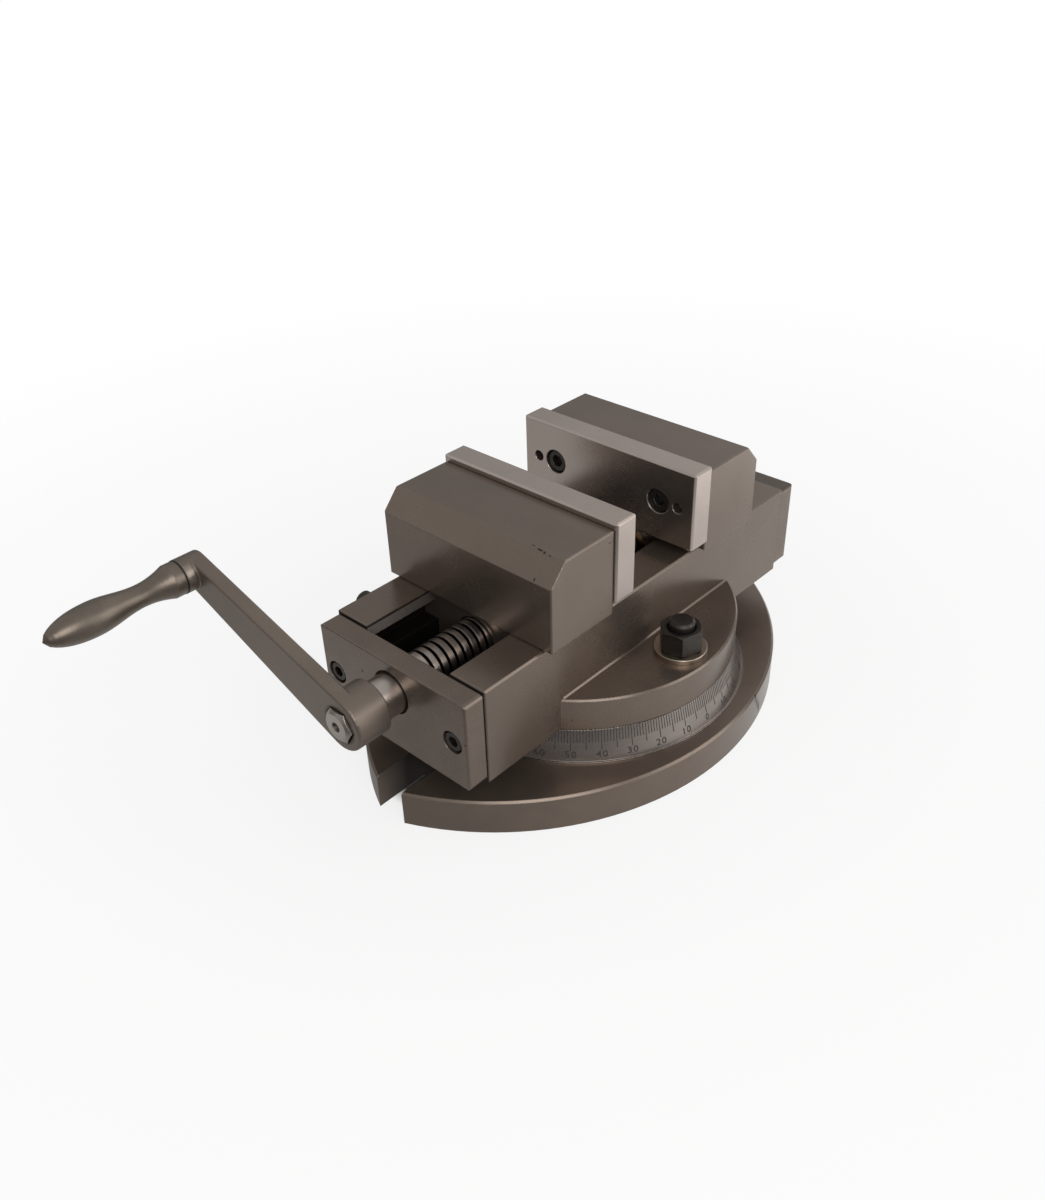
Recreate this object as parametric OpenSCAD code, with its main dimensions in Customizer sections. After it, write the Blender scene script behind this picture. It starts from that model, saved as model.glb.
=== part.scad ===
// Self-centering vise on a swivel base.
// One screw carries both jaws. Its front half has a left-hand thread and its rear half a right-hand
// thread, so the jaws always close on the middle. The origin is on the swivel axis at the base's
// underside. +X is the right side, -Y the crank's side, +Z up.

/* [Bed] */
// Width of the bed
bed_w = 89.7; // [80:0.1:110]
// Length of the bed between its end plates
bed_l = 217.2; // [212:0.1:260]
// Height of the bed
bed_h = 48; // [46:0.1:56]
// Width of the slot in the bed's top
slot_w = 50.4; // [46:0.1:52]
// Depth of the slot's narrow neck
neck_h = 6.5; // [5:0.1:9]
// Width of the undercut below the neck
under_w = 68; // [62:0.1:72]
// Height of the undercut
under_h = 10.5; // [8:0.1:12]
// Thickness of the channel's floor
floor_t = 12.6; // [11:0.1:16]
// Small bevel along the bed's edges
bed_bevel = 0.8; // [0.3:0.1:1.5]
// Small bevel along the slot's top edges
slot_bevel = 0.5; // [0.2:0.1:1]

/* [Swivel disc] */
// Radius of the disc whose edges are the two ears
ear_r = 77.4; // [76:0.1:86]
// Thickness of the disc at the ears
ear_t = 16.6; // [12:0.1:22]
// How far the disc stands out under the bed
foot_h = 0.3; // [0.1:0.1:3]
// Bevel under the ears
ear_under_bevel = 0.3; // [0.2:0.1:3]
// Bevel on top of the ears
ear_bevel = 0.8; // [0.3:0.1:2]
// Narrow slope in the corner where the ears' top meets the bed's sides
ear_corner = 0.7; // [0.3:0.1:2]

/* [Base] */
// Width of the base across its two arcs
base_w = 179.2; // [172:0.1:200]
// Radius of each of the two arcs
base_arc_r = 139; // [130:0.5:170]
// Thickness of the base's flange
base_t = 17.7; // [16:0.1:24]
// Radius of the round under the bed's disc
hub_r = 74; // [73.9:0.1:75]
// Height of that round above the flange
hub_h = 15.4; // [10:0.1:20]
// Bevel along the flange's top edge
base_bevel = 1; // [0.5:0.1:2.5]
// Width of the slot at each tip
tip_slot_w = 16; // [12:0.1:20]
// Distance of the tip slots' round ends from the middle
tip_slot_y = 100; // [96:0.5:110]

/* [Degree collar] */
// Radius of the collar at its top
collar_top_r = 77.3; // [77:0.1:80]
// Radius of the collar at its foot
collar_foot_r = 81.7; // [80:0.1:84]
// Height of the straight ledge at the collar's foot
collar_ledge_h = 0.8; // [0.4:0.1:2]
// Width of that ledge
collar_ledge_w = 0.8; // [0.3:0.1:1.5]

/* [Swivel clamp] */
// Distance of the clamp bolts from the swivel axis
bolt_x = 62; // [61:0.1:64]
// Diameter of the clamp bolts
bolt_d = 12; // [10:0.5:13]
// How far the bolts stand out of their nuts
bolt_over = 3.4; // [1:0.1:8]
// Side of the bolts' square heads
bolt_head_w = 19; // [17:0.1:20]
// Thickness of the bolts' heads
bolt_head_t = 8; // [5:0.1:9]
// Size of the nuts across their flats
nut_af = 18; // [17:0.1:20]
// Height of the nuts
nut_h = 10.8; // [8:0.1:14]
// Diameter of the washers
washer_d = 24.4; // [22:0.1:26]
// Thickness of the washers
washer_t = 2.5; // [1.5:0.1:4]

/* [Pivot pin] */
// Diameter of the pivot pin
pivot_d = 28; // [20:0.5:36]
// Diameter of its head
pivot_head_d = 38; // [38:0.5:46]
// Thickness of its head
pivot_head_t = 5; // [3:0.1:8]
// How far the pin goes into the bed
pivot_in = 9.7; // [6:0.1:10.5]

/* [End plates] */
// Width of the end plates
plate_w = 88.6; // [80:0.1:104]
// Thickness of the end plates
plate_t = 10.7; // [9:0.1:16]
// How far the plates' top lies below the bed's top
plate_drop = 1.4; // [0:0.1:3]
// How far the plates' foot lies above the bed's underside
plate_rise = 2.3; // [0:0.1:5]
// Rounding of the plates' corners
plate_round = 2; // [0.5:0.1:4]
// Rounding of the plates' outer upright edges
plate_edge = 1.2; // [0.3:0.1:3]
// Small bevel along the plates' other edges
plate_bevel = 0.5; // [0.2:0.1:1.2]
// Half the distance between a plate's screws
plate_screw_x = 35.8; // [34:0.1:38]
// Distance of the plate screws below the lead screw's axis
plate_screw_drop = 7.2; // [4:0.1:12]
// Diameter of the plate screws' heads
plate_head_d = 9.6; // [8:0.1:10]
// Height of the plate screws' heads
plate_head_h = 6; // [4:0.1:7]
// Diameter of the counterbores in the plates
plate_sink_d = 11; // [10.4:0.1:12]
// Diameter of the plate screws
plate_screw_d = 6; // [4:0.1:7]
// Length of the plate screws below the head
plate_screw_l = 18; // [10:0.5:26]

/* [Jaws] */
// Opening between the jaw plates at rest
opening = 41.9; // [20:0.1:90]
// Width of the jaw blocks
jaw_w = 98.6; // [92:0.1:101]
// Length of the jaw blocks along the bed
jaw_l = 39.6; // [37:0.1:44]
// Height of the jaw blocks above the bed
jaw_h = 41.55; // [34:0.05:60]
// Height of the bevel on the jaws' outer side
jaw_slope_h = 9.9; // [4:0.1:16]
// Depth of that bevel
jaw_slope_l = 9; // [4:0.1:16]
// Small bevel on the jaw blocks' other edges
jaw_bevel = 0.6; // [0.2:0.1:1.5]
// How far the jaws' tongue is set back from the outer side
tongue_back = 4.7; // [2:0.1:8]
// How far the tongue is set back from the inner side
tongue_front = 2.3; // [1:0.1:5]
// Gap between the tongue and the channel's floor
tongue_gap = 1.5; // [0.5:0.1:3]

/* [Jaw plates] */
// Width of the jaw plates
face_w = 101.6; // [90:0.1:130]
// Thickness of the jaw plates
face_t = 12.75; // [10:0.05:16]
// Height of the jaw plates
face_h = 39.1; // [34:0.1:46]
// Gap between the jaw plates and the bed
face_rise = 5.5; // [2:0.1:10]
// Bevel on the jaw plates' edges
face_bevel = 0.9; // [0.3:0.1:2]
// Half the distance between the jaw plate's screws
face_screw_x = 30.8; // [24:0.1:34]
// Height of the jaw plate's screws above its lower edge
face_screw_z = 20; // [14:0.1:24]
// Diameter of the jaw plate screws' heads
face_head_d = 11.4; // [9:0.1:11.8]
// Height of the jaw plate screws' heads
face_head_h = 7.2; // [5:0.1:7.8]
// Diameter of the counterbores in the jaw plates
face_sink_d = 12.3; // [12:0.1:13]
// Depth of the counterbores in the jaw plates
face_sink_h = 8.2; // [8:0.1:9]
// Diameter of the jaw plate screws
face_screw_d = 7.9; // [5:0.1:8]
// Length of the jaw plate screws below the head
face_screw_l = 18; // [12:0.5:26]
// Half the distance between the jaw plate's stop holes
stop_x = 41.6; // [40:0.1:44]
// Diameter of the stop holes
stop_d = 5.4; // [4:0.1:6.5]
// Depth of the stop holes
stop_h = 9.5; // [6:0.1:9.8]

/* [Lead screw] */
// Depth of the lead screw's axis below the bed's top
screw_drop = 16.5; // [16:0.1:17.5]
// Diameter of the thread
screw_d = 20.4; // [18:0.1:21]
// Distance from one thread crest to the next
pitch = 4.4; // [3.5:0.1:6]
// Depth of the thread
thread_h = 2.2; // [1.6:0.1:2.2]
// Flat steps round each turn of the thread
thread_steps = 18; // [16:1:24]
// Diameter of the middle journal
mid_d = 16; // [13:0.1:17]
// Diameter of the two thrust shoulders
shoulder_d = 22; // [21.6:0.1:24]
// Length of each thrust shoulder
shoulder_l = 3.5; // [2.5:0.1:4]
// Diameter of the front journal
front_d = 18.8; // [16:0.1:20]
// Diameter of the rear journal
rear_d = 15.8; // [14:0.1:16]
// Size of the hexagonal drive across its flats
hex_af = 14.3; // [13:0.1:15]
// How far the drive stands out of the front plate
drive_out = 29.7; // [27:0.1:40]

/* [Screw bearings] */
// How far the front journal stands out of the front plate
front_out = 10.7; // [6:0.1:11]
// Diameter of the hole seen in the plates
plate_bore_d = 20.8; // [20.4:0.1:23]
// Outer diameter of the bushings
bush_d = 25; // [24:0.1:28]
// Length of the bushings
bush_l = 7.7; // [5:0.1:8]
// Length of the middle bearing
yoke_l = 16; // [12:0.1:16]
// Width of the middle bearing
yoke_w = 47; // [46:0.1:48]
// Height of the bearing's cap above the screw's axis
cap_h = 11.5; // [10:0.1:12.5]
// Thickness of the thrust washers
thrust_t = 1; // [0.5:0.1:1.5]
// Diameter of the middle bearing's screws
yoke_screw_d = 5; // [4:0.1:6]
// Half the distance between those screws
yoke_screw_x = 17.6; // [17.4:0.1:18.5]

/* [Jaw nuts] */
// Outer diameter of the bronze jaw nuts
jaw_nut_d = 28; // [26:0.1:29]
// Thickness of the tongue's wall in front of the nut
jaw_nut_wall = 3; // [2:0.1:5]
// Diameter of the key pins that keep the nuts from turning
key_d = 4; // [3:0.1:4.5]
// Length of the key pins
key_l = 12; // [8:0.5:20]

/* [Crank] */
// Distance from the screw's axis to the grip's axis
crank_r = 101; // [70:0.5:150]
// Angle of the arm above the left horizontal, as it stands
crank_angle = 19.6; // [0:0.1:80]
// Diameter of the hub
crank_hub_d = 25; // [23:0.1:32]
// Length of the hub
crank_hub_l = 17; // [12:0.1:18]
// Bevel on the hub's inner end
crank_hub_bevel = 0.5; // [0.2:0.1:1.5]
// Thickness of the arm
arm_t = 7; // [5:0.1:10]
// Rounding of the arm's edges
arm_round = 1.2; // [1:0.1:2.4]
// Diameter of the arm's far end
arm_end_d = 16; // [13:0.1:20]
// Height of the boss under the grip
boss_h = 5.5; // [2:0.1:8]

/* [Grip] */
// Length of the grip
grip_l = 63; // [55:0.5:90]
// Diameter of the grip at its foot
grip_foot_d = 15.6; // [13:0.1:18]
// Diameter of the grip's waist
grip_waist_d = 10.2; // [10:0.1:12]
// Largest diameter of the grip's swell
grip_swell_d = 15.2; // [13:0.1:20]
// Diameter of the spindle inside the grip
spindle_d = 6; // [4:0.1:6.4]
// Length of the spindle inside the grip
spindle_l = 46; // [30:0.5:50]

/* [Side screw] */
// Distance of the small side screw from the middle
side_screw_y = 90; // [60:0.5:98]
// Depth of the side screw's axis below the bed's top
side_screw_drop = 7; // [5.5:0.1:10]
// Diameter of its head
side_head_d = 9.6; // [7:0.1:10]
// Height of its head
side_head_h = 5.6; // [3:0.1:8]

/* [Hidden] */
$fn = 96;

// Overrun of cuts past a face
over = 1;
// Gap between flat faces that slide or turn on each other
slide_gap = 0.05;
// Radial gap of running fits
run_gap = 0.05;
// Radial gap of fits that don't move
seat_gap = 0.02;
// Gap round the necks and shanks that pass a slot or a hole freely
free_gap = 0.4;
// Gap at each side between a jaw's tongue and the slot's neck
neck_gap = 0.1;
// Gap at each side between a jaw's tongue and the undercut
wing_gap = 0.8;
// Gap above and below the tongue's wings
wing_drop = 0.2;
// Gap between the screw and the hole it passes in a jaw
pass_gap = 0.8;
// Gap between the thread and the jaw nuts, which lets its flat steps turn freely
thread_gap = 0.25;
// Depth of the screw heads below the face they are sunk in
sunk = 0.5;
// Steps round a rounded form made of flat pieces
soft_fn = 32;

// Heights of the main levels
seat_z = base_t + hub_h;
bed_z = seat_z + foot_h;
bed_top = bed_z + bed_h;
ear_top = seat_z + ear_t;
screw_z = bed_top - screw_drop;
floor_z = bed_z + floor_t;
plate_z = bed_z + plate_rise;
plate_top = bed_top - plate_drop;
plate_screw_z = screw_z - plate_screw_drop;

// Places along the bed, measured from the middle
bed_end = bed_l / 2;
plate_face = bed_end + plate_t;
jaw_in = opening / 2 + face_t;
jaw_out = jaw_in + jaw_l;
tongue_in = jaw_in + tongue_front;
tongue_out = jaw_out - tongue_back;
drive_end = plate_face + drive_out;
journal_end = plate_face + front_out;
hub_face = journal_end + crank_hub_l;

// The clamp's T-slot in the base and the bolts in it
bolt_head_gap = 0.5;
nut_turn = 10.35;
clamp_floor_z = 7;
clamp_neck_w = bolt_d + 2 * free_gap;
clamp_room_h = bolt_head_t + 2 * over;
clamp_neck_z = clamp_floor_z + clamp_room_h;
clamp_in_r = bolt_x - bolt_head_w / 2 - bolt_head_gap;
clamp_out_r = norm([bolt_x + bolt_head_w / 2, bolt_head_w / 2]) + bolt_head_gap;
window_w = bolt_head_w + 4 * bolt_head_gap;
bolt_top = ear_top + washer_t + nut_h + bolt_over;
ear_hole_d = bolt_d + 2 * free_gap;

// Sizes of the thread
root_r = screw_d / 2 - thread_h;
relief_cut = 0.4;
relief_r = root_r - relief_cut;
thread_in = yoke_l / 2 + thrust_t + shoulder_l;
thread_out = bed_end - 0.1;
thread_cap = 0.2;
thread_room = thread_out - thread_in - 2 * thread_cap;
shoulder_over = 0.5;
relief_l = bed_end - thread_out + thread_cap + over;
flank_share = 0.12;
crest_share = 0.5;
// Corners of one thread ridge, as shares of the pitch and of the thread's depth
ridge_shares = [[0, 0], [flank_share, 1], [flank_share + crest_share, 1],
                [2 * flank_share + crest_share, 0]];
// The last ridge starts up to nearly a whole turn later at the far side, and still has its full width
thread_turns = floor(thread_room / pitch - 2 * flank_share - crest_share + 1 / thread_steps);

// Sizes of small parts
hex_r = hex_af / 2 / cos(30);
drive_gap = 0.6;
drive_bevel = 2.2;
drive_bevel_l = 1.6;
centre_hole_d = 1.8;
centre_sink_d = 4.4;
centre_sink_h = 2.2;
centre_hole_h = 5;
socket_share = 0.5;
socket_depth_share = 0.55;
head_bevel_share = 0.06;
shank_extra = 1.5;
yoke_head_d = 8.5;
yoke_head_h = 5;
yoke_screw_l = 34;
spindle_head_h = 2;
spindle_head_d = 10;
ring_t = 1.2;
ring_d = 8.4;
ring_back = 3;
grip_bore_d = spindle_d + 2 * run_gap;
grip_foot_h = 4.8;
grip_bore_extra = 1;
waist_share = 0.3;
swell_share = 0.65;
nose_power = 2.2;
nose_root = 0.6;
grip_steps = 28;
ring_groove = 0.5;
ring_split = 1;
side_screw_d = 6;
side_screw_l = 8;

// Colours close to the finish of each piece
dark_steel = [0.47, 0.44, 0.41];
plain_steel = [0.66, 0.64, 0.62];
bright_steel = [0.78, 0.76, 0.74];
black_steel = [0.16, 0.15, 0.14];
bronze = [0.62, 0.48, 0.28];

// Outline of a rectangle with cut corners
function octagon(a, b, c) = [
    [-a / 2 + c, -b / 2], [a / 2 - c, -b / 2], [a / 2, -b / 2 + c], [a / 2, b / 2 - c],
    [a / 2 - c, b / 2], [-a / 2 + c, b / 2], [-a / 2, b / 2 - c], [-a / 2, -b / 2 + c]];

// Box with all its edges bevelled, centred on X and Y and standing on its lower face
module bevelled_box(w, l, h, c) {
    intersection() {
        linear_extrude(h) polygon(octagon(w, l, c));
        translate([0, l / 2 + over, h / 2]) rotate([90, 0, 0])
            linear_extrude(l + 2 * over) polygon(octagon(w, h, c));
        translate([-w / 2 - over, 0, h / 2]) rotate([90, 0, 90])
            linear_extrude(w + 2 * over) polygon(octagon(l, h, c));
    }
}

// Rectangle with rounded corners, centred
module rounded_rect(w, h, r) {
    square([w - 2 * r, h], center = true);
    square([w, h - 2 * r], center = true);
    for (x = [-1, 1], y = [-1, 1])
        translate([x * (w / 2 - r), y * (h / 2 - r)]) circle(r);
}

// Disc whose upper edge is bevelled
module bevelled_disc(r, h, c) {
    rotate_extrude() polygon([[0, 0], [r, 0], [r, h - c], [r - c, h], [0, h]]);
}

// Ring between two radii
module ring(r_in, r_out, h) {
    difference() {
        cylinder(r = r_out, h = h);
        translate([0, 0, -over]) cylinder(r = r_in, h = h + 2 * over);
    }
}

// Cap screw with a hexagonal socket. Its seat is at zero, its head up and its shank down.
module cap_screw(d, l, head_d, head_h) {
    bevel = head_d * head_bevel_share;
    difference() {
        union() {
            cylinder(d = head_d, h = head_h - bevel);
            translate([0, 0, head_h - bevel])
                cylinder(d1 = head_d, d2 = head_d - 2 * bevel, h = bevel);
            translate([0, 0, -l]) cylinder(d = d, h = l + head_h / 2);
        }
        translate([0, 0, head_h * (1 - socket_depth_share)])
            cylinder(d = head_d * socket_share / cos(30), h = head_h, $fn = 6);
    }
}

// Hexagonal nut with turned corners, standing on its seat
module hex_nut(af, h, bore_d) {
    corner_r = af / 2 / cos(30);
    turned = corner_r - af / 2;
    difference() {
        intersection() {
            cylinder(r = corner_r, h = h, $fn = 6);
            rotate_extrude() polygon([[0, 0], [af / 2, 0], [corner_r + turned, turned],
                [corner_r + turned, h - turned], [af / 2, h], [0, h]]);
        }
        translate([0, 0, -over]) cylinder(d = bore_d, h = h + 2 * over);
        translate([0, 0, h - over])
            cylinder(d1 = bore_d, d2 = bore_d + 2 * over + 2 * seat_gap, h = over + seat_gap);
    }
}

// Puts a child that points up so that it points along -Y from a place on the screw's axis
module along_front(y) {
    translate([0, -y, screw_z]) rotate([90, 0, 0]) children();
}

// Puts a child that points up so that it points along +Y from a place on the screw's axis
module along_rear(y) {
    translate([0, y, screw_z]) rotate([-90, 0, 0]) children();
}

// Copy for the rear half of the vise, turned half a turn about the swivel axis
module rear_half() {
    rotate([0, 0, 180]) children();
}

// One of the two arcs of the base, bevelled along its top edge
module base_arc(side) {
    translate([side * (base_arc_r - base_w / 2), 0, 0])
        bevelled_disc(base_arc_r, base_t, base_bevel);
}

module swivel_base() {
    color(dark_steel) difference() {
        union() {
            intersection() {
                base_arc(1);
                base_arc(-1);
            }
            cylinder(r = hub_r, h = seat_z);
        }
        // ring-shaped T-slot for the heads of the clamp bolts
        translate([0, 0, clamp_floor_z]) ring(clamp_in_r, clamp_out_r, clamp_room_h);
        translate([0, 0, clamp_floor_z + over])
            ring(bolt_x - clamp_neck_w / 2, bolt_x + clamp_neck_w / 2, seat_z);
        // windows where the bolt heads go in from below
        for (s = [-1, 1])
            translate([0, s * bolt_x, clamp_floor_z / 2])
                cube([window_w, window_w, clamp_floor_z + 2 * over], center = true);
        // bore and counterbore of the pivot pin
        translate([0, 0, -over]) cylinder(d = pivot_d + 2 * seat_gap, h = seat_z + 2 * over);
        translate([0, 0, -over])
            cylinder(d = pivot_head_d + 2 * seat_gap, h = pivot_head_t + 2 * over);
        // open slots at the two tips
        for (s = [-1, 1]) {
            translate([0, s * tip_slot_y, -over]) cylinder(d = tip_slot_w, h = base_t + 2 * over);
            translate([0, s * (tip_slot_y + base_arc_r / 2), base_t / 2])
                cube([tip_slot_w, base_arc_r, base_t + 2 * over], center = true);
        }
    }
}

module degree_collar() {
    in_r = hub_r + seat_gap;
    foot_r = collar_foot_r + collar_ledge_w;
    top = hub_h - 2 * slide_gap;
    color(bright_steel) translate([0, 0, base_t]) rotate_extrude() polygon([
        [in_r, 0], [foot_r, 0], [foot_r, collar_ledge_h], [collar_foot_r, collar_ledge_h],
        [collar_top_r, top], [in_r, top]]);
}

module pivot_pin() {
    color(plain_steel) {
        translate([0, 0, over]) cylinder(d = pivot_head_d, h = pivot_head_t);
        translate([0, 0, over + pivot_head_t / 2])
            cylinder(d = pivot_d, h = seat_z + pivot_in - over - pivot_head_t / 2);
    }
}

module swivel_bolts() {
    head_top = clamp_neck_z - slide_gap;
    color(black_steel) for (s = [-1, 1]) translate([s * bolt_x, 0, 0]) {
        translate([-bolt_head_w / 2, -bolt_head_w / 2, head_top - bolt_head_t])
            cube([bolt_head_w, bolt_head_w, bolt_head_t]);
        translate([0, 0, head_top - bolt_head_t / 2])
            cylinder(d = bolt_d, h = bolt_top - over - head_top + bolt_head_t / 2);
        translate([0, 0, bolt_top - over]) cylinder(d1 = bolt_d, d2 = bolt_d - 2 * over, h = over);
    }
}

module swivel_washers() {
    color([0.6, 0.54, 0.44]) for (s = [-1, 1])
        translate([s * bolt_x, 0, ear_top]) ring(ear_hole_d / 2, washer_d / 2, washer_t);
}

module swivel_nut(side) {
    color(black_steel) translate([side * bolt_x, 0, ear_top + washer_t + slide_gap])
        rotate([0, 0, nut_turn]) hex_nut(nut_af, nut_h - slide_gap, bolt_d + 2 * run_gap);
}

module vise_body() {
    color(dark_steel) difference() {
        union() {
            translate([0, 0, bed_z]) bevelled_box(bed_w, bed_l, bed_h, bed_bevel);
            translate([0, 0, seat_z]) rotate_extrude() polygon([
                [0, slide_gap], [ear_r - ear_under_bevel, slide_gap],
                [ear_r, slide_gap + ear_under_bevel], [ear_r, ear_t - ear_bevel],
                [ear_r - ear_bevel, ear_t], [0, ear_t]]);
            for (s = [-1, 1]) ear_slope(s);
        }
        slot_edges();
        // slot, undercut and channel for the jaws and the screw
        translate([-slot_w / 2, -bed_end - over, bed_top - neck_h - over])
            cube([slot_w, bed_l + 2 * over, neck_h + 2 * over]);
        translate([-under_w / 2, -bed_end - over, bed_top - neck_h - under_h])
            cube([under_w, bed_l + 2 * over, under_h]);
        translate([-slot_w / 2, -bed_end - over, floor_z])
            cube([slot_w, bed_l + 2 * over, bed_top - floor_z - neck_h - over]);
        // blind bore for the pivot pin
        translate([0, 0, seat_z - over])
            cylinder(d = pivot_d + 2 * run_gap, h = over + pivot_in + free_gap);
        // holes in the ears
        for (s = [-1, 1]) translate([s * bolt_x, 0, seat_z - over])
            cylinder(d = ear_hole_d, h = ear_t + 2 * over);
        // holes for the end plates' screws
        for (s = [-1, 1], e = [0, 180]) rotate([0, 0, e])
            translate([s * plate_screw_x, -bed_end - over, plate_screw_z]) rotate([-90, 0, 0])
                cylinder(d = plate_screw_d + 2 * seat_gap, h = plate_screw_l + over + shank_extra);
        // holes for the middle bearing's screws
        for (s = [-1, 1]) translate([s * yoke_screw_x, 0, yoke_hole_z])
            cylinder(d = yoke_screw_d + 2 * seat_gap, h = floor_z - yoke_hole_z + over);
        // hole for the side screw
        translate([-bed_w / 2 - over, -side_screw_y, bed_top - side_screw_drop]) rotate([0, 90, 0])
            cylinder(d = side_screw_d + 2 * seat_gap, h = over + side_screw_l + sunk);
    }
}

// Narrow slope along the corner between one ear's top and the bed's side
module ear_slope(side) {
    reach = sqrt(pow(ear_r - ear_bevel, 2) - pow(bed_w / 2 + ear_corner, 2));
    translate([side * bed_w / 2, reach, ear_top]) rotate([90, 0, 0]) linear_extrude(2 * reach)
        polygon([[side * ear_corner, 0], [0, ear_corner], [-side * over, ear_corner],
            [-side * over, -over], [side * ear_corner, -over]]);
}

// Bevels along the two top edges of the slot
module slot_edges() {
    w = slot_w / 2;
    translate([0, bed_end + over, bed_top]) rotate([90, 0, 0]) linear_extrude(bed_l + 2 * over)
        polygon([[-w - slot_bevel - over, over], [-w + over, -slot_bevel - over],
            [w - over, -slot_bevel - over], [w + slot_bevel + over, over]]);
}

// Outline and edges shared by both end plates, at the front of the bed
module end_plate_blank() {
    h = plate_top - plate_z;
    w = plate_w / 2;
    intersection() {
        translate([-w - over, -(bed_end + plate_face) / 2, plate_z + h / 2])
            rotate([90, 0, 90]) linear_extrude(plate_w + 2 * over)
                polygon(octagon(plate_t, h, plate_bevel));
        translate([0, -bed_end, plate_z + h / 2]) rotate([90, 0, 0])
            linear_extrude(plate_t) rounded_rect(plate_w, h, plate_round);
        translate([0, 0, plate_z - over]) linear_extrude(h + 2 * over) {
            polygon([[-w, -plate_face + plate_edge], [w, -plate_face + plate_edge],
                [w, -bed_end - plate_bevel], [w - plate_bevel, -bed_end],
                [-w + plate_bevel, -bed_end], [-w, -bed_end - plate_bevel]]);
            translate([-w + plate_edge, -plate_face]) square([plate_w - 2 * plate_edge, plate_edge + over]);
            for (s = [-1, 1])
                translate([s * (w - plate_edge), -plate_face + plate_edge]) circle(plate_edge);
        }
    }
}

module end_plate() {
    sink_h = plate_head_h + sunk;
    color(dark_steel) difference() {
        end_plate_blank();
        along_front(bed_end - over) cylinder(d = plate_bore_d, h = plate_t + 2 * over);
        along_front(bed_end - over) cylinder(d = bush_d + 2 * seat_gap, h = bush_l + over);
        for (s = [-1, 1]) translate([s * plate_screw_x, -plate_face, plate_screw_z])
            rotate([-90, 0, 0]) {
                translate([0, 0, -over]) cylinder(d = plate_sink_d, h = sink_h + over);
                cylinder(d = plate_screw_d + 2 * free_gap, h = plate_t + over);
            }
    }
}

module front_end_plate() {
    end_plate();
}

module rear_end_plate() {
    rear_half() end_plate();
}

module plate_screws() {
    sink_h = plate_head_h + sunk;
    color(black_steel) for (s = [-1, 1])
        translate([s * plate_screw_x, -plate_face + sink_h, plate_screw_z]) rotate([90, 0, 0])
            cap_screw(plate_screw_d, plate_screw_l, plate_head_d, plate_head_h);
}

module front_plate_screws() {
    plate_screws();
}

module rear_plate_screws() {
    rear_half() plate_screws();
}

module side_screw() {
    color(black_steel) translate([-bed_w / 2, -side_screw_y, bed_top - side_screw_drop])
        rotate([0, -90, 0]) cap_screw(side_screw_d, side_screw_l, side_head_d, side_head_h);
}

module front_bushing() {
    color(bronze) along_front(bed_end) ring(front_d / 2 + run_gap, bush_d / 2, bush_l);
}

module rear_bushing() {
    color(bronze) along_rear(bed_end) ring(rear_d / 2 + run_gap, bush_d / 2, bush_l);
}

// Bottom of the threaded holes for the middle bearing
yoke_hole_z = screw_z + cap_h - yoke_head_h - yoke_screw_l - shank_extra;

module bearing_saddle() {
    color(dark_steel) difference() {
        translate([-yoke_w / 2, -yoke_l / 2, floor_z]) cube([yoke_w, yoke_l, screw_z - floor_z]);
        along_front(-yoke_l / 2 - over) cylinder(d = mid_d + 2 * run_gap, h = yoke_l + 2 * over);
        for (s = [-1, 1]) translate([s * yoke_screw_x, 0, floor_z - over])
            cylinder(d = yoke_screw_d + 2 * seat_gap, h = screw_z - floor_z + 2 * over);
    }
}

module bearing_cap() {
    color(dark_steel) difference() {
        translate([-yoke_w / 2, -yoke_l / 2, screw_z]) cube([yoke_w, yoke_l, cap_h]);
        along_front(-yoke_l / 2 - over) cylinder(d = mid_d + 2 * run_gap, h = yoke_l + 2 * over);
        for (s = [-1, 1]) translate([s * yoke_screw_x, 0, screw_z]) {
            translate([0, 0, -over])
                cylinder(d = yoke_screw_d + 2 * seat_gap, h = cap_h + 2 * over);
            translate([0, 0, cap_h - yoke_head_h])
                cylinder(d = yoke_head_d + free_gap, h = yoke_head_h + over);
        }
    }
}

module bearing_screws() {
    color(black_steel) for (s = [-1, 1])
        translate([s * yoke_screw_x, 0, screw_z + cap_h - yoke_head_h])
            cap_screw(yoke_screw_d, yoke_screw_l, yoke_head_d, yoke_head_h);
}

module thrust_washers() {
    color(bronze) {
        along_front(yoke_l / 2) ring(mid_d / 2 + run_gap, shoulder_d / 2, thrust_t - slide_gap);
        along_rear(yoke_l / 2) ring(mid_d / 2 + run_gap, shoulder_d / 2, thrust_t - slide_gap);
    }
}

// Corner k of the thread at step i of a turn: the two plain ends, and four corners a turn between
function thread_rows() = 4 * thread_turns + 2;
function thread_z(i, k, len, grow) =
    k == 0 ? -grow :
    k == thread_rows() - 1 ? len + grow :
    thread_cap + pitch * (floor((k - 1) / 4) + ridge_shares[(k - 1) % 4][0] + i / thread_steps)
        + ((k - 1) % 4 < 2 ? -grow : grow);
function thread_r(k) =
    k == 0 || k == thread_rows() - 1 ? root_r : root_r + thread_h * ridge_shares[(k - 1) % 4][1];
function thread_point(i, k, len, grow) =
    let (a = 360 * i / thread_steps, r = thread_r(k) + grow)
        [r * cos(a), r * sin(a), thread_z(i, k, len, grow)];

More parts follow.
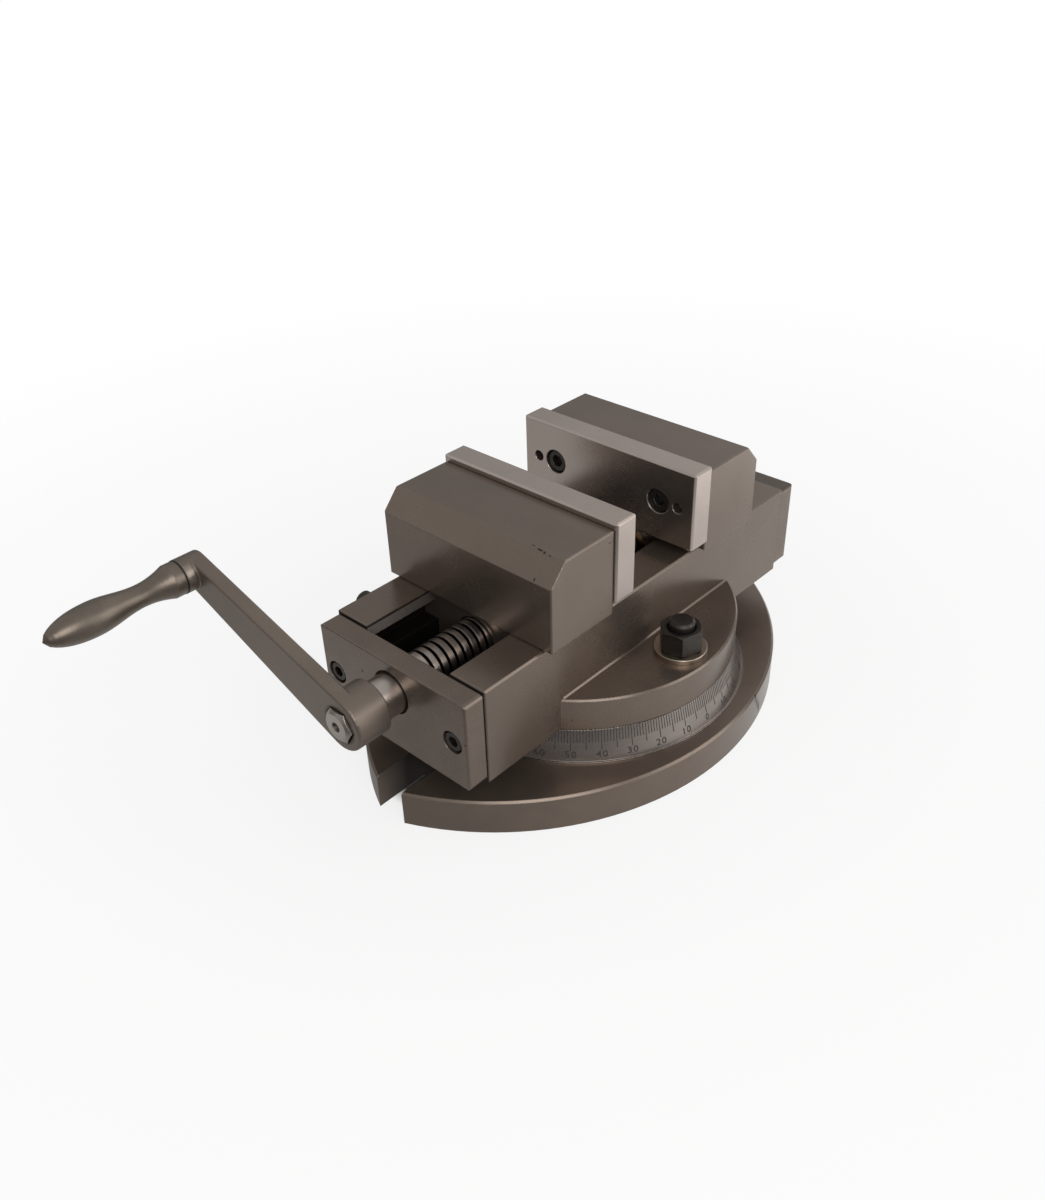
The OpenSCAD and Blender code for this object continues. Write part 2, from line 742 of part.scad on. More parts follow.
// Right-hand threaded bar along +Z. Each ridge starts and ends with a flat face, as a cut thread does.
// With a gap in grow, the same bar cuts the thread of a nut that runs on it.
module threaded_bar(len, grow = 0) {
    n = thread_steps;
    rows = thread_rows();
    last = rows - 1;
    function id(i, k) = i * rows + k;
    points = [for (i = [0:n - 1], k = [0:last]) thread_point(i, k, len, grow)];
    walls = [for (i = [0:n - 2], k = [0:last - 1]) each [
        [id(i, k), id(i, k + 1), id(i + 1, k + 1)], [id(i, k), id(i + 1, k + 1), id(i + 1, k)]]];
    // where a turn closes, the corners of the last step meet those one turn further on
    seam = [for (k = [1:last - 6]) each [
        [id(n - 1, k), id(n - 1, k + 1), id(0, k + 5)], [id(n - 1, k), id(0, k + 5), id(0, k + 4)]]];
    start = [[id(n - 1, 0), id(0, 1), id(0, 0)], [id(n - 1, 0), id(0, 4), id(0, 1)],
             [id(n - 1, 0), id(0, 5), id(0, 4)], [id(n - 1, 0), id(n - 1, 1), id(0, 5)],
             [id(0, 1), id(0, 4), id(0, 3)], [id(0, 1), id(0, 3), id(0, 2)]];
    e = last - 5;
    end = [[id(0, last), id(0, last - 1), id(n - 1, e)], [id(0, last), id(n - 1, e), id(n - 1, e + 1)],
           [id(0, last), id(n - 1, e + 1), id(n - 1, last - 1)],
           [id(0, last), id(n - 1, last - 1), id(n - 1, last)],
           [id(n - 1, e + 1), id(n - 1, e + 2), id(n - 1, e + 3)],
           [id(n - 1, e + 1), id(n - 1, e + 3), id(n - 1, e + 4)]];
    caps = [[for (i = [0:n - 1]) id(i, 0)], [for (i = [n - 1:-1:0]) id(i, last)]];
    polyhedron(points, concat(walls, seam, start, end, caps));
}

module lead_screw() {
    len = thread_out - thread_in;
    color(bright_steel) difference() {
        union() {
            // left-hand thread in front, right-hand thread behind
            along_front(thread_in) mirror([1, 0, 0]) threaded_bar(len);
            rear_half() along_front(thread_in) threaded_bar(len);
            along_front(-thread_in) cylinder(d = mid_d, h = 2 * thread_in);
            for (e = [0, 180]) rotate([0, 0, e]) {
                along_front(yoke_l / 2 + thrust_t)
                    cylinder(d = shoulder_d, h = shoulder_l + shoulder_over);
                along_front(thread_out - thread_cap) cylinder(r = relief_r, h = relief_l);
            }
            along_front(bed_end) cylinder(d = front_d, h = journal_end - bed_end);
            along_rear(bed_end) cylinder(d = rear_d, h = bush_l);
            along_front(journal_end - over) intersection() {
                cylinder(r = hex_r, h = drive_end - journal_end + over, $fn = 6);
                drive_turning();
            }
        }
        along_front(drive_end - centre_hole_h) cylinder(d = centre_hole_d, h = centre_hole_h + over);
        along_front(drive_end - centre_sink_h)
            cylinder(d1 = centre_hole_d, d2 = centre_sink_d, h = centre_sink_h + seat_gap);
    }
}

// Turned outline that takes the corners off the drive's end
module drive_turning() {
    h = drive_end - journal_end + over;
    r = hex_r + seat_gap;
    rotate_extrude() polygon([[0, 0], [r, 0], [r, h - drive_bevel_l], [r - drive_bevel, h], [0, h]]);
}

// Outline of a jaw block seen from its side, with the inner face at the right
function jaw_outline() = [
    [-jaw_out, 0], [-jaw_in, 0], [-jaw_in, jaw_h], [-jaw_out + jaw_slope_l, jaw_h],
    [-jaw_out, jaw_h - jaw_slope_h]];

module jaw_block() {
    gap_z = bed_top + slide_gap;
    neck = slot_w - 2 * neck_gap;
    wing = under_w - 2 * wing_gap;
    wing_top = bed_top - neck_h - wing_drop;
    wing_h = under_h - 2 * wing_drop;
    foot = slot_w - 2 * wing_gap;
    tongue_l = tongue_out - tongue_in;
    difference() {
        union() {
            intersection() {
                translate([-jaw_w / 2, 0, gap_z]) rotate([90, 0, 90])
                    linear_extrude(jaw_w) polygon(jaw_outline());
                translate([0, -(jaw_in + jaw_out) / 2, gap_z])
                    bevelled_box(jaw_w, jaw_l, jaw_h, jaw_bevel);
            }
            translate([-neck / 2, -tongue_out, wing_top - over])
                cube([neck, tongue_l, bed_top - wing_top + 2 * over]);
            translate([-wing / 2, -tongue_out, wing_top - wing_h]) cube([wing, tongue_l, wing_h]);
            translate([-foot / 2, -tongue_out, floor_z + tongue_gap])
                cube([foot, tongue_l, wing_top - wing_h - floor_z]);
        }
        // seat of the nut, and the hole where the screw leaves it
        along_front(tongue_in - over)
            cylinder(d = jaw_nut_d + 2 * seat_gap, h = tongue_l - jaw_nut_wall + over);
        along_front(tongue_in) cylinder(d = screw_d + 2 * pass_gap, h = tongue_l + over);
        key_cut();
        for (s = [-1, 1]) translate([s * face_screw_x, 0, 0]) plate_screw_hole();
    }
}

// Threaded hole for a jaw plate's screw, from the jaw block's inner face
module plate_screw_hole() {
    h = face_screw_l - (face_t - face_sink_h) + shank_extra;
    translate([0, -jaw_in + over, face_z + face_screw_z]) rotate([90, 0, 0])
        cylinder(d = face_screw_d + 2 * seat_gap, h = h + over);
}

// Height of the jaw plates' lower edge
face_z = bed_top + face_rise;

// Half-round grooves for the key pin, between a nut and its seat
module key_cut() {
    translate([0, -tongue_in + over, screw_z - jaw_nut_d / 2]) rotate([90, 0, 0])
        cylinder(d = key_d + 2 * seat_gap, h = key_l + over);
}

module jaw_plate() {
    difference() {
        translate([0, -opening / 2 - face_t / 2, face_z])
            bevelled_box(face_w, face_t, face_h, face_bevel);
        for (s = [-1, 1]) {
            translate([s * face_screw_x, -opening / 2, face_z + face_screw_z])
                rotate([90, 0, 0]) {
                    translate([0, 0, -over]) cylinder(d = face_sink_d, h = face_sink_h + over);
                    cylinder(d = face_screw_d + free_gap, h = face_t + over);
                }
            translate([s * stop_x, -opening / 2 + over, face_z + face_screw_z])
                rotate([90, 0, 0]) cylinder(d = stop_d, h = stop_h + over);
        }
    }
}

module jaw_screws() {
    for (s = [-1, 1])
        translate([s * face_screw_x, -opening / 2 - face_sink_h, face_z + face_screw_z])
            rotate([-90, 0, 0]) cap_screw(face_screw_d, face_screw_l, face_head_d, face_head_h);
}

// Bronze nut at the front jaw's place, with a left-hand or a right-hand thread
module jaw_nut(left) {
    difference() {
        along_front(tongue_in) cylinder(d = jaw_nut_d, h = tongue_out - tongue_in - jaw_nut_wall);
        along_front(thread_in) mirror([left ? 1 : 0, 0, 0])
            threaded_bar(thread_out - thread_in, thread_gap);
        key_cut();
    }
}

module nut_key() {
    translate([0, -tongue_in, screw_z - jaw_nut_d / 2]) rotate([90, 0, 0])
        cylinder(d = key_d, h = key_l);
}

module front_jaw() {
    color(dark_steel) jaw_block();
}

module front_jaw_plate() {
    color(bright_steel) jaw_plate();
}

module front_jaw_screws() {
    color(black_steel) jaw_screws();
}

module front_jaw_nut() {
    color(bronze) jaw_nut(true);
}

module front_nut_key() {
    color(plain_steel) nut_key();
}

module rear_jaw() {
    color(dark_steel) rear_half() jaw_block();
}

module rear_jaw_plate() {
    color(bright_steel) rear_half() jaw_plate();
}

module rear_jaw_screws() {
    color(black_steel) rear_half() jaw_screws();
}

module rear_jaw_nut() {
    color(bronze) rear_half() jaw_nut(false);
}

module rear_nut_key() {
    color(plain_steel) rear_half() nut_key();
}

// Puts a child in the crank's own frame: Z points at the operator, X along the arm, zero at the hub's face
module crank_frame() {
    along_front(hub_face) rotate([0, 0, 180 - crank_angle]) children();
}

// Flat disc with rounded edges, lying just under zero
module arm_pad(r) {
    translate([0, 0, -arm_t / 2]) rotate_extrude($fn = soft_fn) {
        translate([0, -arm_t / 2]) square([r - arm_round, arm_t]);
        translate([0, -arm_t / 2 + arm_round]) square([r, arm_t - 2 * arm_round]);
        for (s = [-1, 1]) translate([r - arm_round, s * (arm_t / 2 - arm_round)]) circle(arm_round);
    }
}

module crank_arm() {
    color(dark_steel) difference() {
        crank_frame() difference() {
            union() {
                hull() {
                    arm_pad(crank_hub_d / 2);
                    translate([crank_r, 0, 0]) arm_pad(arm_end_d / 2);
                }
                translate([0, 0, -crank_hub_l]) {
                    cylinder(d1 = crank_hub_d - 2 * crank_hub_bevel, d2 = crank_hub_d, h = crank_hub_bevel);
                    translate([0, 0, crank_hub_bevel])
                        cylinder(d = crank_hub_d, h = crank_hub_l - arm_round - crank_hub_bevel);
                }
                translate([crank_r, 0, -arm_t / 2]) cylinder(d = arm_end_d, h = arm_t / 2 + boss_h);
            }
            translate([crank_r, 0, -arm_t - over])
                cylinder(d = spindle_d + 2 * seat_gap, h = arm_t + boss_h + 2 * over);
            translate([crank_r, 0, -arm_t - over])
                cylinder(d = spindle_head_d, h = spindle_head_h + over);
        }
        // hexagonal socket, lined up with the drive whatever the arm's angle
        along_front(hub_face - crank_hub_l - over)
            cylinder(r = (hex_af / 2 + drive_gap) / cos(30), h = crank_hub_l + 2 * over, $fn = 6);
    }
}

module grip_spindle() {
    color(plain_steel) crank_frame() translate([crank_r, 0, 0]) difference() {
        union() {
            translate([0, 0, -arm_t]) cylinder(d = spindle_d, h = arm_t + boss_h + spindle_l);
            translate([0, 0, -arm_t])
                cylinder(d = spindle_head_d - 2 * seat_gap, h = spindle_head_h - seat_gap);
        }
        translate([0, 0, boss_h + spindle_l - ring_back - ring_t])
            ring(spindle_d / 2 - ring_groove, spindle_d, ring_t);
    }
}

module grip_ring() {
    color(plain_steel) crank_frame()
        translate([crank_r, 0, boss_h + spindle_l - ring_back - ring_t + seat_gap])
            difference() {
                ring(spindle_d / 2 - ring_groove + seat_gap, ring_d / 2, ring_t - 2 * seat_gap);
                translate([0, -ring_split / 2, -over]) cube([ring_d, ring_split, ring_t + 2 * over]);
            }
}

// Radius of the grip at a share of its length, from a waist near the foot to a swell and a round end
function grip_r(share) =
    share < waist_share ? grip_waist_d / 2 + (grip_foot_d - grip_waist_d) / 2
        * pow((waist_share - share) / (waist_share - grip_foot_h / grip_l), 2) :
    share < swell_share ? grip_waist_d / 2 + (grip_swell_d - grip_waist_d) / 2
        * (1 - cos(180 * (share - waist_share) / (swell_share - waist_share))) / 2 :
    grip_swell_d / 2 * pow(1 - pow((share - swell_share) / (1 - swell_share), nose_power), nose_root);

module grip() {
    foot_share = grip_foot_h / grip_l;
    waist_ring = boss_h + spindle_l - ring_back - ring_t;
    color(dark_steel) crank_frame() translate([crank_r, 0, boss_h + slide_gap]) difference() {
        rotate_extrude() polygon(concat(
            [[0, 0], [grip_foot_d / 2 - seat_gap, 0], [grip_foot_d / 2, grip_foot_h]],
            [for (i = [1:grip_steps - 1]) let (s = foot_share + (1 - foot_share) * i / grip_steps)
                [grip_r(s), s * grip_l]],
            [[0, grip_l]]));
        translate([0, 0, -over]) cylinder(d = grip_bore_d, h = spindle_l + over + grip_bore_extra);
        translate([0, 0, waist_ring - boss_h - free_gap])
            cylinder(d = ring_d + free_gap, h = ring_t + 2 * free_gap);
    }
}

swivel_base();
degree_collar();
pivot_pin();
swivel_bolts();
swivel_washers();
swivel_nut(1);  // swivel_nut_right
swivel_nut(-1);  // swivel_nut_left
vise_body();
front_end_plate();
rear_end_plate();
front_plate_screws();
rear_plate_screws();
side_screw();
front_bushing();
rear_bushing();
bearing_saddle();
bearing_cap();
bearing_screws();
thrust_washers();
lead_screw();
front_jaw();
front_jaw_plate();
front_jaw_screws();
front_jaw_nut();
front_nut_key();
rear_jaw();
rear_jaw_plate();
rear_jaw_screws();
rear_jaw_nut();
rear_nut_key();
crank_arm();
grip_spindle();
grip_ring();
grip();
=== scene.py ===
import bpy
from math import atan2, cos, pi, radians, sin
from mathutils import Matrix, Vector


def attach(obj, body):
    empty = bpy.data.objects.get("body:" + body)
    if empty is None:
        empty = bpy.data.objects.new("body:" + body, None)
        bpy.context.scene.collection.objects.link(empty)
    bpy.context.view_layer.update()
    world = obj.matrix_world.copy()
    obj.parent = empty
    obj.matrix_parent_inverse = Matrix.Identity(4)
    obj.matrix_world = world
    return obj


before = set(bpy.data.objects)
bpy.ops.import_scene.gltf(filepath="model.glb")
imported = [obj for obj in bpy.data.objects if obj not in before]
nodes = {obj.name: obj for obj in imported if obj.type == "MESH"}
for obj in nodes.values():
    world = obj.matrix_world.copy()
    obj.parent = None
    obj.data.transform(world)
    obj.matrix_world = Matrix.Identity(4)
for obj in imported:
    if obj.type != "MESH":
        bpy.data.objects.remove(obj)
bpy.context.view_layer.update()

# The stage: a plain pale floor under the vise and a pale room round it. The camera stands where
# the photographer's stood, above the front right corner.
bpy.context.scene.view_settings.view_transform = "Standard"


def new_material(name):
    """A node material with its Principled shader and its output."""
    made = bpy.data.materials.new(name)
    made.use_nodes = True
    tree = made.node_tree
    return made, tree, tree.nodes["Principled BSDF"], tree.nodes["Material Output"]


def link(tree, source, target):
    """Joins a node's output to another node's input."""
    tree.links.new(source, target)


def put(tree, source, target):
    """Feeds a socket from another socket, or sets it to a plain number or colour."""
    if isinstance(source, bpy.types.NodeSocket):
        link(tree, source, target)
    else:
        target.default_value = source


def calc(tree, operation, first, second=None, clamp=False):
    """One Math node, fed by sockets or numbers. Returns its result."""
    node = tree.nodes.new("ShaderNodeMath")
    node.operation = operation
    node.use_clamp = clamp
    put(tree, first, node.inputs[0])
    if second is not None:
        put(tree, second, node.inputs[1])
    return node.outputs[0]


def spread(tree, value, low, high, to_low=0.0, to_high=1.0):
    """One clamped Map Range node, which stretches low..high to to_low..to_high."""
    node = tree.nodes.new("ShaderNodeMapRange")
    node.clamp = True
    for source, label in ((value, "Value"), (low, "From Min"), (high, "From Max"),
                          (to_low, "To Min"), (to_high, "To Max")):
        put(tree, source, node.inputs[label])
    return node.outputs["Result"]


def vector_calc(tree, operation, first, second=None):
    """One Vector Math node, fed by sockets. Returns its result, a number or a vector."""
    node = tree.nodes.new("ShaderNodeVectorMath")
    node.operation = operation
    link(tree, first, node.inputs[0])
    if second is not None:
        link(tree, second, node.inputs[1])
    return node.outputs["Value" if operation in ("LENGTH", "DOT_PRODUCT") else "Vector"]


def split(tree, vector):
    """The X, Y and Z of a vector."""
    node = tree.nodes.new("ShaderNodeSeparateXYZ")
    link(tree, vector, node.inputs[0])
    return node.outputs


def object_place(tree):
    """Where a point lies on its object."""
    return tree.nodes.new("ShaderNodeTexCoord").outputs["Object"]


def grey(tree, tone):
    """A colour whose three parts are all the same tone."""
    node = tree.nodes.new("ShaderNodeCombineColor")
    for socket in node.inputs:
        link(tree, tone, socket)
    return node.outputs[0]


def level_way(tree, sides, heading):
    """How far a point lies along a level heading, given as its shares of X and Y."""
    return calc(tree, "ADD", calc(tree, "MULTIPLY", sides[0], heading[0]),
                calc(tree, "MULTIPLY", sides[1], heading[1]))


def mix_shaders(tree, share, first, second, target):
    """Feeds a target from two shaders, with the given share of the second."""
    node = tree.nodes.new("ShaderNodeMixShader")
    for source, socket in zip((share, first, second), node.inputs):
        link(tree, source, socket)
    link(tree, node.outputs[0], target)


FLOOR_HALF = 6.0
FLOOR_DROP = 0.0002
FLOOR_TONE = 0.86
FLOOR_ROUGHNESS = 0.9
bpy.ops.object.select_all(action="DESELECT")
bpy.ops.mesh.primitive_plane_add(size=2 * FLOOR_HALF, location=(0, 0, -FLOOR_DROP))
floor = bpy.context.object
floor.name = "floor"
bpy.ops.object.transform_apply(location=True, rotation=True, scale=True)
floor_paper, tree, shader, output = new_material("floor_paper")
shader.inputs["Roughness"].default_value = FLOOR_ROUGHNESS
spot = object_place(tree)
sides = split(tree, spot)
reach = vector_calc(tree, "LENGTH", spot)
path = tree.nodes.new("ShaderNodeLightPath").outputs

# the floor seen through the slots in the base's two tips is given a darker colour as painted shade, and
# also keeps its own shading
SLOT_ACROSS = (0.0080, 0.0090)
SLOT_ALONG = (0.111, 0.120)
SLOT_SHADE_TONE = 0.12
outside = calc(tree, "MAXIMUM", spread(tree, calc(tree, "ABSOLUTE", sides[0]), *SLOT_ACROSS),
               spread(tree, calc(tree, "ABSOLUTE", sides[1]), *SLOT_ALONG))
paper_tone = spread(tree, outside, 0.0, 1.0, SLOT_SHADE_TONE, FLOOR_TONE)
link(tree, grey(tree, paper_tone), shader.inputs["Base Color"])

# the camera sees the paper turn white away from the vise, and keeps the shadow near it; each
# range here and below goes from one distance to another, and from one strength to another
PAPER_WHITE = (0.16, 0.62, 0.80, 1.0)
GLOW_IN_METAL = 0.88
seen = calc(tree, "MAXIMUM", path["Is Camera Ray"], path["Is Transmission Ray"])
seen = calc(tree, "MULTIPLY", seen, calc(tree, "MULTIPLY", spread(tree, reach, *PAPER_WHITE), outside))
mirrored = calc(tree, "MULTIPLY", path["Is Glossy Ray"], GLOW_IN_METAL)

# painted reflection: to glossy rays the paper glows white at the right and behind, and grey at the left and
# far away; a painted glow at the far right stands for the foot of a bright screen, and a strip in front is
# painted dark
REAR_RIGHT = (0.6, 0.8)
FAR_RIGHT = (0.87, 0.5)
FRONT = (0.5, -0.87)
WHITE_RIGHT = (-0.09, 0.10, 0.37, 0.90)
GREY_LEFT = (-0.04, -0.08, 0.36, 0.62)
GREY_OUTER = (-0.09, -0.16, 1.0, 0.8)
GREY_FAR = (0.45, 1.0, 1.0, 0.45)
RIGHT_GLOW_IN_REFLECTION = (0.24, 0.31, 0.0, 0.8)
DARK_FRONT = (0.15, 0.26, 1.0, 0.15)
reflected_glow = calc(tree, "MAXIMUM", spread(tree, level_way(tree, sides, REAR_RIGHT), *WHITE_RIGHT),
           spread(tree, sides[0], *GREY_LEFT))
reflected_glow = calc(tree, "MULTIPLY", reflected_glow, spread(tree, reach, *GREY_FAR))
reflected_glow = calc(tree, "MULTIPLY", reflected_glow, spread(tree, sides[0], *GREY_OUTER))
reflected_glow = calc(tree, "ADD", reflected_glow, spread(tree, level_way(tree, sides, FAR_RIGHT), *RIGHT_GLOW_IN_REFLECTION))
reflected_glow = calc(tree, "MULTIPLY", reflected_glow, spread(tree, level_way(tree, sides, FRONT), *DARK_FRONT))
reflected_glow = calc(tree, "MULTIPLY", reflected_glow, path["Is Glossy Ray"])
glow = tree.nodes.new("ShaderNodeEmission")
link(tree, calc(tree, "MAXIMUM", path["Is Camera Ray"], reflected_glow), glow.inputs["Strength"])
mix_shaders(tree, calc(tree, "MAXIMUM", seen, mirrored), shader.outputs[0], glow.outputs[0],
            output.inputs["Surface"])
floor.data.materials.append(floor_paper)

# the room's walls are darker low down than the ceiling, darkest at the left and lightest behind
WHITE = (1.0, 1.0, 1.0, 1)
ROOM_STRENGTH = 0.55
WALL_STRENGTH = 0.22
WALL_RISE = (0.10, 0.40)
LEFT_WALL = (-0.68, -0.50, 0.78, 1.0)
BACK_WALL = (-0.50, -0.42, 0.0, 0.38)
BACK_ONLY = (0.3, 0.6, 0.0, 1.0)
world = bpy.data.worlds.new("studio")
bpy.context.scene.world = world
world.use_nodes = True
tree = world.node_tree
room = tree.nodes["Background"]
room.inputs["Color"].default_value = WHITE
heading = split(tree, tree.nodes.new("ShaderNodeTexCoord").outputs["Generated"])
wall = spread(tree, heading[2], *WALL_RISE, WALL_STRENGTH, ROOM_STRENGTH)
behind = calc(tree, "MULTIPLY", spread(tree, heading[0], *BACK_WALL), spread(tree, heading[1], *BACK_ONLY))
wall = calc(tree, "MULTIPLY", wall, calc(tree, "ADD", behind, spread(tree, heading[0], *LEFT_WALL)))
link(tree, wall, room.inputs["Strength"])
paper = tree.nodes.new("ShaderNodeBackground")
paper.inputs["Color"].default_value = WHITE
paper.inputs["Strength"].default_value = 1.0
path = tree.nodes.new("ShaderNodeLightPath").outputs
mix_shaders(tree, path["Is Camera Ray"], room.outputs[0], paper.outputs[0],
            tree.nodes["World Output"].inputs["Surface"])

CAMERA_PLACE = Vector((0.29693, -0.34864, 0.35817))
CAMERA_RIGHT = Vector((0.73553, 0.67689, -0.02844))
CAMERA_UP = Vector((-0.36035, 0.42643, 0.82964))
CAMERA_LENS = 33.92
CAMERA_SENSOR = 36
CAMERA_NEAR = 0.01
CAMERA_FAR = 30
camera = bpy.data.objects.new("camera", bpy.data.cameras.new("camera"))
bpy.context.scene.collection.objects.link(camera)
camera_axes = Matrix((CAMERA_RIGHT, CAMERA_UP, CAMERA_RIGHT.cross(CAMERA_UP))).transposed()
camera.matrix_world = Matrix.Translation(CAMERA_PLACE) @ camera_axes.to_4x4()
camera.data.lens = CAMERA_LENS
camera.data.sensor_width = CAMERA_SENSOR
camera.data.clip_start = CAMERA_NEAR
camera.data.clip_end = CAMERA_FAR
bpy.context.scene.camera = camera

# Soft boxes: a large one beside the camera lights the right-hand bevels, one at the right rear
# the rounds of the hub and the shaft, and a weak one at the left fills the shaded sides.
LAMP_AIM = Vector((0.0, 0.0, 0.05))
LAMP_COLOUR = (1.0, 0.98, 0.96)
# place, size and power of each lamp
LAMPS = {
    "key_softbox": ((0.98, -0.69, 0.86), (0.9, 0.9), 8.0),
    "rear_softbox": ((1.05, 0.57, 0.40), (0.75, 1.1), 4.2),
    "left_softbox": ((-1.1, -0.5, 0.7), (0.9, 0.9), 0.6),
}
for name, (place, size, power) in LAMPS.items():
    data = bpy.data.lights.new(name, "AREA")
    data.shape = "RECTANGLE"
    data.size, data.size_y = size
    data.energy = power
    data.color = LAMP_COLOUR
    lamp = bpy.data.objects.new(name, data)
    bpy.context.scene.collection.objects.link(lamp)
    lamp.location = place
    lamp.rotation_mode = "QUATERNION"
    lamp.rotation_quaternion = (LAMP_AIM - Vector(place)).to_track_quat("-Z", "Y")


# Swivel base: one casting in dark satin steel, ground flat below and on its flange, with a
# turned round in the middle that carries the degree collar and the bed. It is bolted down by
# the open slots in its two tips.
FLOAT, VECTOR = "NodeSocketFloat", "NodeSocketVector"


def new_group(name, inputs, outputs):
    """A shader node group with named inputs and outputs. Returns it and its inner ends."""
    group = bpy.data.node_groups.new(name, "ShaderNodeTree")
    for label, kind, value in inputs:
        socket = group.interface.new_socket(label, in_out="INPUT", socket_type=kind)
        if value is not None:
            socket.default_value = value
    for label, kind in outputs:
        group.interface.new_socket(label, in_out="OUTPUT", socket_type=kind)
    return group, group.nodes.new("NodeGroupInput").outputs, group.nodes.new("NodeGroupOutput").inputs


def use(tree, group, **values):
    """Places a group in a material. Returns its outputs."""
    node = tree.nodes.new("ShaderNodeGroup")
    node.node_tree = group
    for label, value in values.items():
        put(tree, value, node.inputs[label])
    return node.outputs


def noise(tree, place, scale, detail, rough=0.55, distortion=0.0):
    """One Noise node. Returns its value."""
    node = tree.nodes.new("ShaderNodeTexNoise")
    put(tree, place, node.inputs["Vector"])
    put(tree, scale, node.inputs["Scale"])
    node.inputs["Detail"].default_value = detail
    node.inputs["Roughness"].default_value = rough
    node.inputs["Distortion"].default_value = distortion
    return node.outputs["Fac"]


# fine straight scratches of a surface grinder, along the axis that Place squeezes
GRAIN_DETAIL = 3.0
GRAIN_BREAK = 0.7
GRAIN_RANGE = (0.32, 0.68)
ground_grain, start, end = new_group(
    "ground_grain", [("Place", VECTOR, None), ("Fineness", FLOAT, 1500.0)], [("Streak", FLOAT)])
tree = ground_grain
streaks = noise(tree, start["Place"], start["Fineness"], GRAIN_DETAIL, GRAIN_BREAK)
link(tree, spread(tree, streaks, *GRAIN_RANGE), end["Streak"])

# slow change of tone over a face, from oil film and handling, with a little finer mottle in it
BROAD_SHARE = 0.93
FINE_SHARE = 0.07
FINE_TIMES = 9.0
FILM_RANGE = (0.34, 0.66)
oil_film, start, end = new_group(
    "oil_film", [("Place", VECTOR, None), ("Size", FLOAT, 0.03)], [("Shade", FLOAT)])
tree = oil_film
broad = noise(tree, start["Place"], calc(tree, "DIVIDE", 1.0, start["Size"]), detail=4.0, rough=0.6,
              distortion=0.3)
fine = noise(tree, start["Place"], calc(tree, "DIVIDE", FINE_TIMES, start["Size"]), detail=3.0, rough=0.6)
both = calc(tree, "ADD", calc(tree, "MULTIPLY", broad, BROAD_SHARE),
            calc(tree, "MULTIPLY", fine, FINE_SHARE))
link(tree, spread(tree, both, *FILM_RANGE), end["Shade"])

# scattered dark pits and specks of several sizes, in a share of the cells that the face is cut in
SMALLEST_SPECK = 0.3
SPECK_CORE = 0.5
pit_specks, start, end = new_group(
    "pit_specks", [("Place", VECTOR, None), ("Spacing", FLOAT, 0.012), ("Size", FLOAT, 0.0005),
                   ("Share", FLOAT, 0.4)], [("Speck", FLOAT)])
tree = pit_specks
cells = tree.nodes.new("ShaderNodeTexVoronoi")
link(tree, start["Place"], cells.inputs["Vector"])
link(tree, calc(tree, "DIVIDE", 1.0, start["Spacing"]), cells.inputs["Scale"])
away = calc(tree, "MULTIPLY", cells.outputs["Distance"], start["Spacing"])
chance = tree.nodes.new("ShaderNodeSeparateColor")
link(tree, cells.outputs["Color"], chance.inputs[0])
kept = calc(tree, "LESS_THAN", chance.outputs[0], start["Share"])
own_size = calc(tree, "MULTIPLY", start["Size"], calc(tree, "ADD", chance.outputs[1], SMALLEST_SPECK))
dot = spread(tree, away, calc(tree, "MULTIPLY", own_size, SPECK_CORE), own_size, 1.0, 0.0)
link(tree, calc(tree, "MULTIPLY", dot, kept), end["Speck"])

# bare bright metal along worn edges, which also serves as a painted highlight along them, and the normal
# that rounds those edges off
BEVEL_SAMPLES = 6
WEAR_FINENESS = 260.0
WEAR_RANGE = (0.3, 0.6, 0.6, 1.0)
worn_and_highlit_edges, start, end = new_group(
    "worn_and_highlit_edges", [("Place", VECTOR, None), ("Width", FLOAT, 0.0006), ("Gain", FLOAT, 3.0)],
    [("WearAndHighlight", FLOAT), ("Normal", VECTOR)])
tree = worn_and_highlit_edges
soft = tree.nodes.new("ShaderNodeBevel")
soft.samples = BEVEL_SAMPLES
link(tree, start["Width"], soft.inputs["Radius"])
flat = tree.nodes.new("ShaderNodeNewGeometry").outputs["True Normal"]
turn = vector_calc(tree, "DOT_PRODUCT", soft.outputs[0], flat)
bent = calc(tree, "MULTIPLY", calc(tree, "SUBTRACT", 1.0, turn), start["Gain"], clamp=True)
broken = noise(tree, start["Place"], WEAR_FINENESS, detail=3.0, rough=0.6)
broken = spread(tree, broken, *WEAR_RANGE)
link(tree, calc(tree, "MULTIPLY", bent, broken), end["WearAndHighlight"])
link(tree, soft.outputs[0], end["Normal"])

# one small dent, nick or punch mark, as an oval round Centre
MARK_RIM = (0.75, 1.0, 1.0, 0.0)
small_mark, start, end = new_group(
    "small_mark", [("Place", VECTOR, None), ("Centre", VECTOR, None), ("Reach", VECTOR, None)],
    [("Mark", FLOAT)])
tree = small_mark
away = vector_calc(tree, "SUBTRACT", start["Place"], start["Centre"])
away = vector_calc(tree, "LENGTH", vector_calc(tree, "DIVIDE", away, start["Reach"]))
link(tree, spread(tree, away, *MARK_RIM), end["Mark"])

# a box that dirt fills or that sliding parts keep bright, full inside Reach and gone after Fade
corner_mask, start, end = new_group(
    "corner_mask", [("Place", VECTOR, None), ("Centre", VECTOR, None), ("Reach", VECTOR, None),
                    ("Fade", VECTOR, None)], [("Mask", FLOAT)])
tree = corner_mask
away = vector_calc(tree, "ABSOLUTE", vector_calc(tree, "SUBTRACT", start["Place"], start["Centre"]))
away = vector_calc(tree, "DIVIDE", vector_calc(tree, "SUBTRACT", away, start["Reach"]), start["Fade"])
parts = split(tree, away)
most = calc(tree, "MAXIMUM", calc(tree, "MAXIMUM", parts[0], parts[1]), parts[2])
link(tree, spread(tree, most, 0.0, 1.0, 1.0, 0.0), end["Mask"])


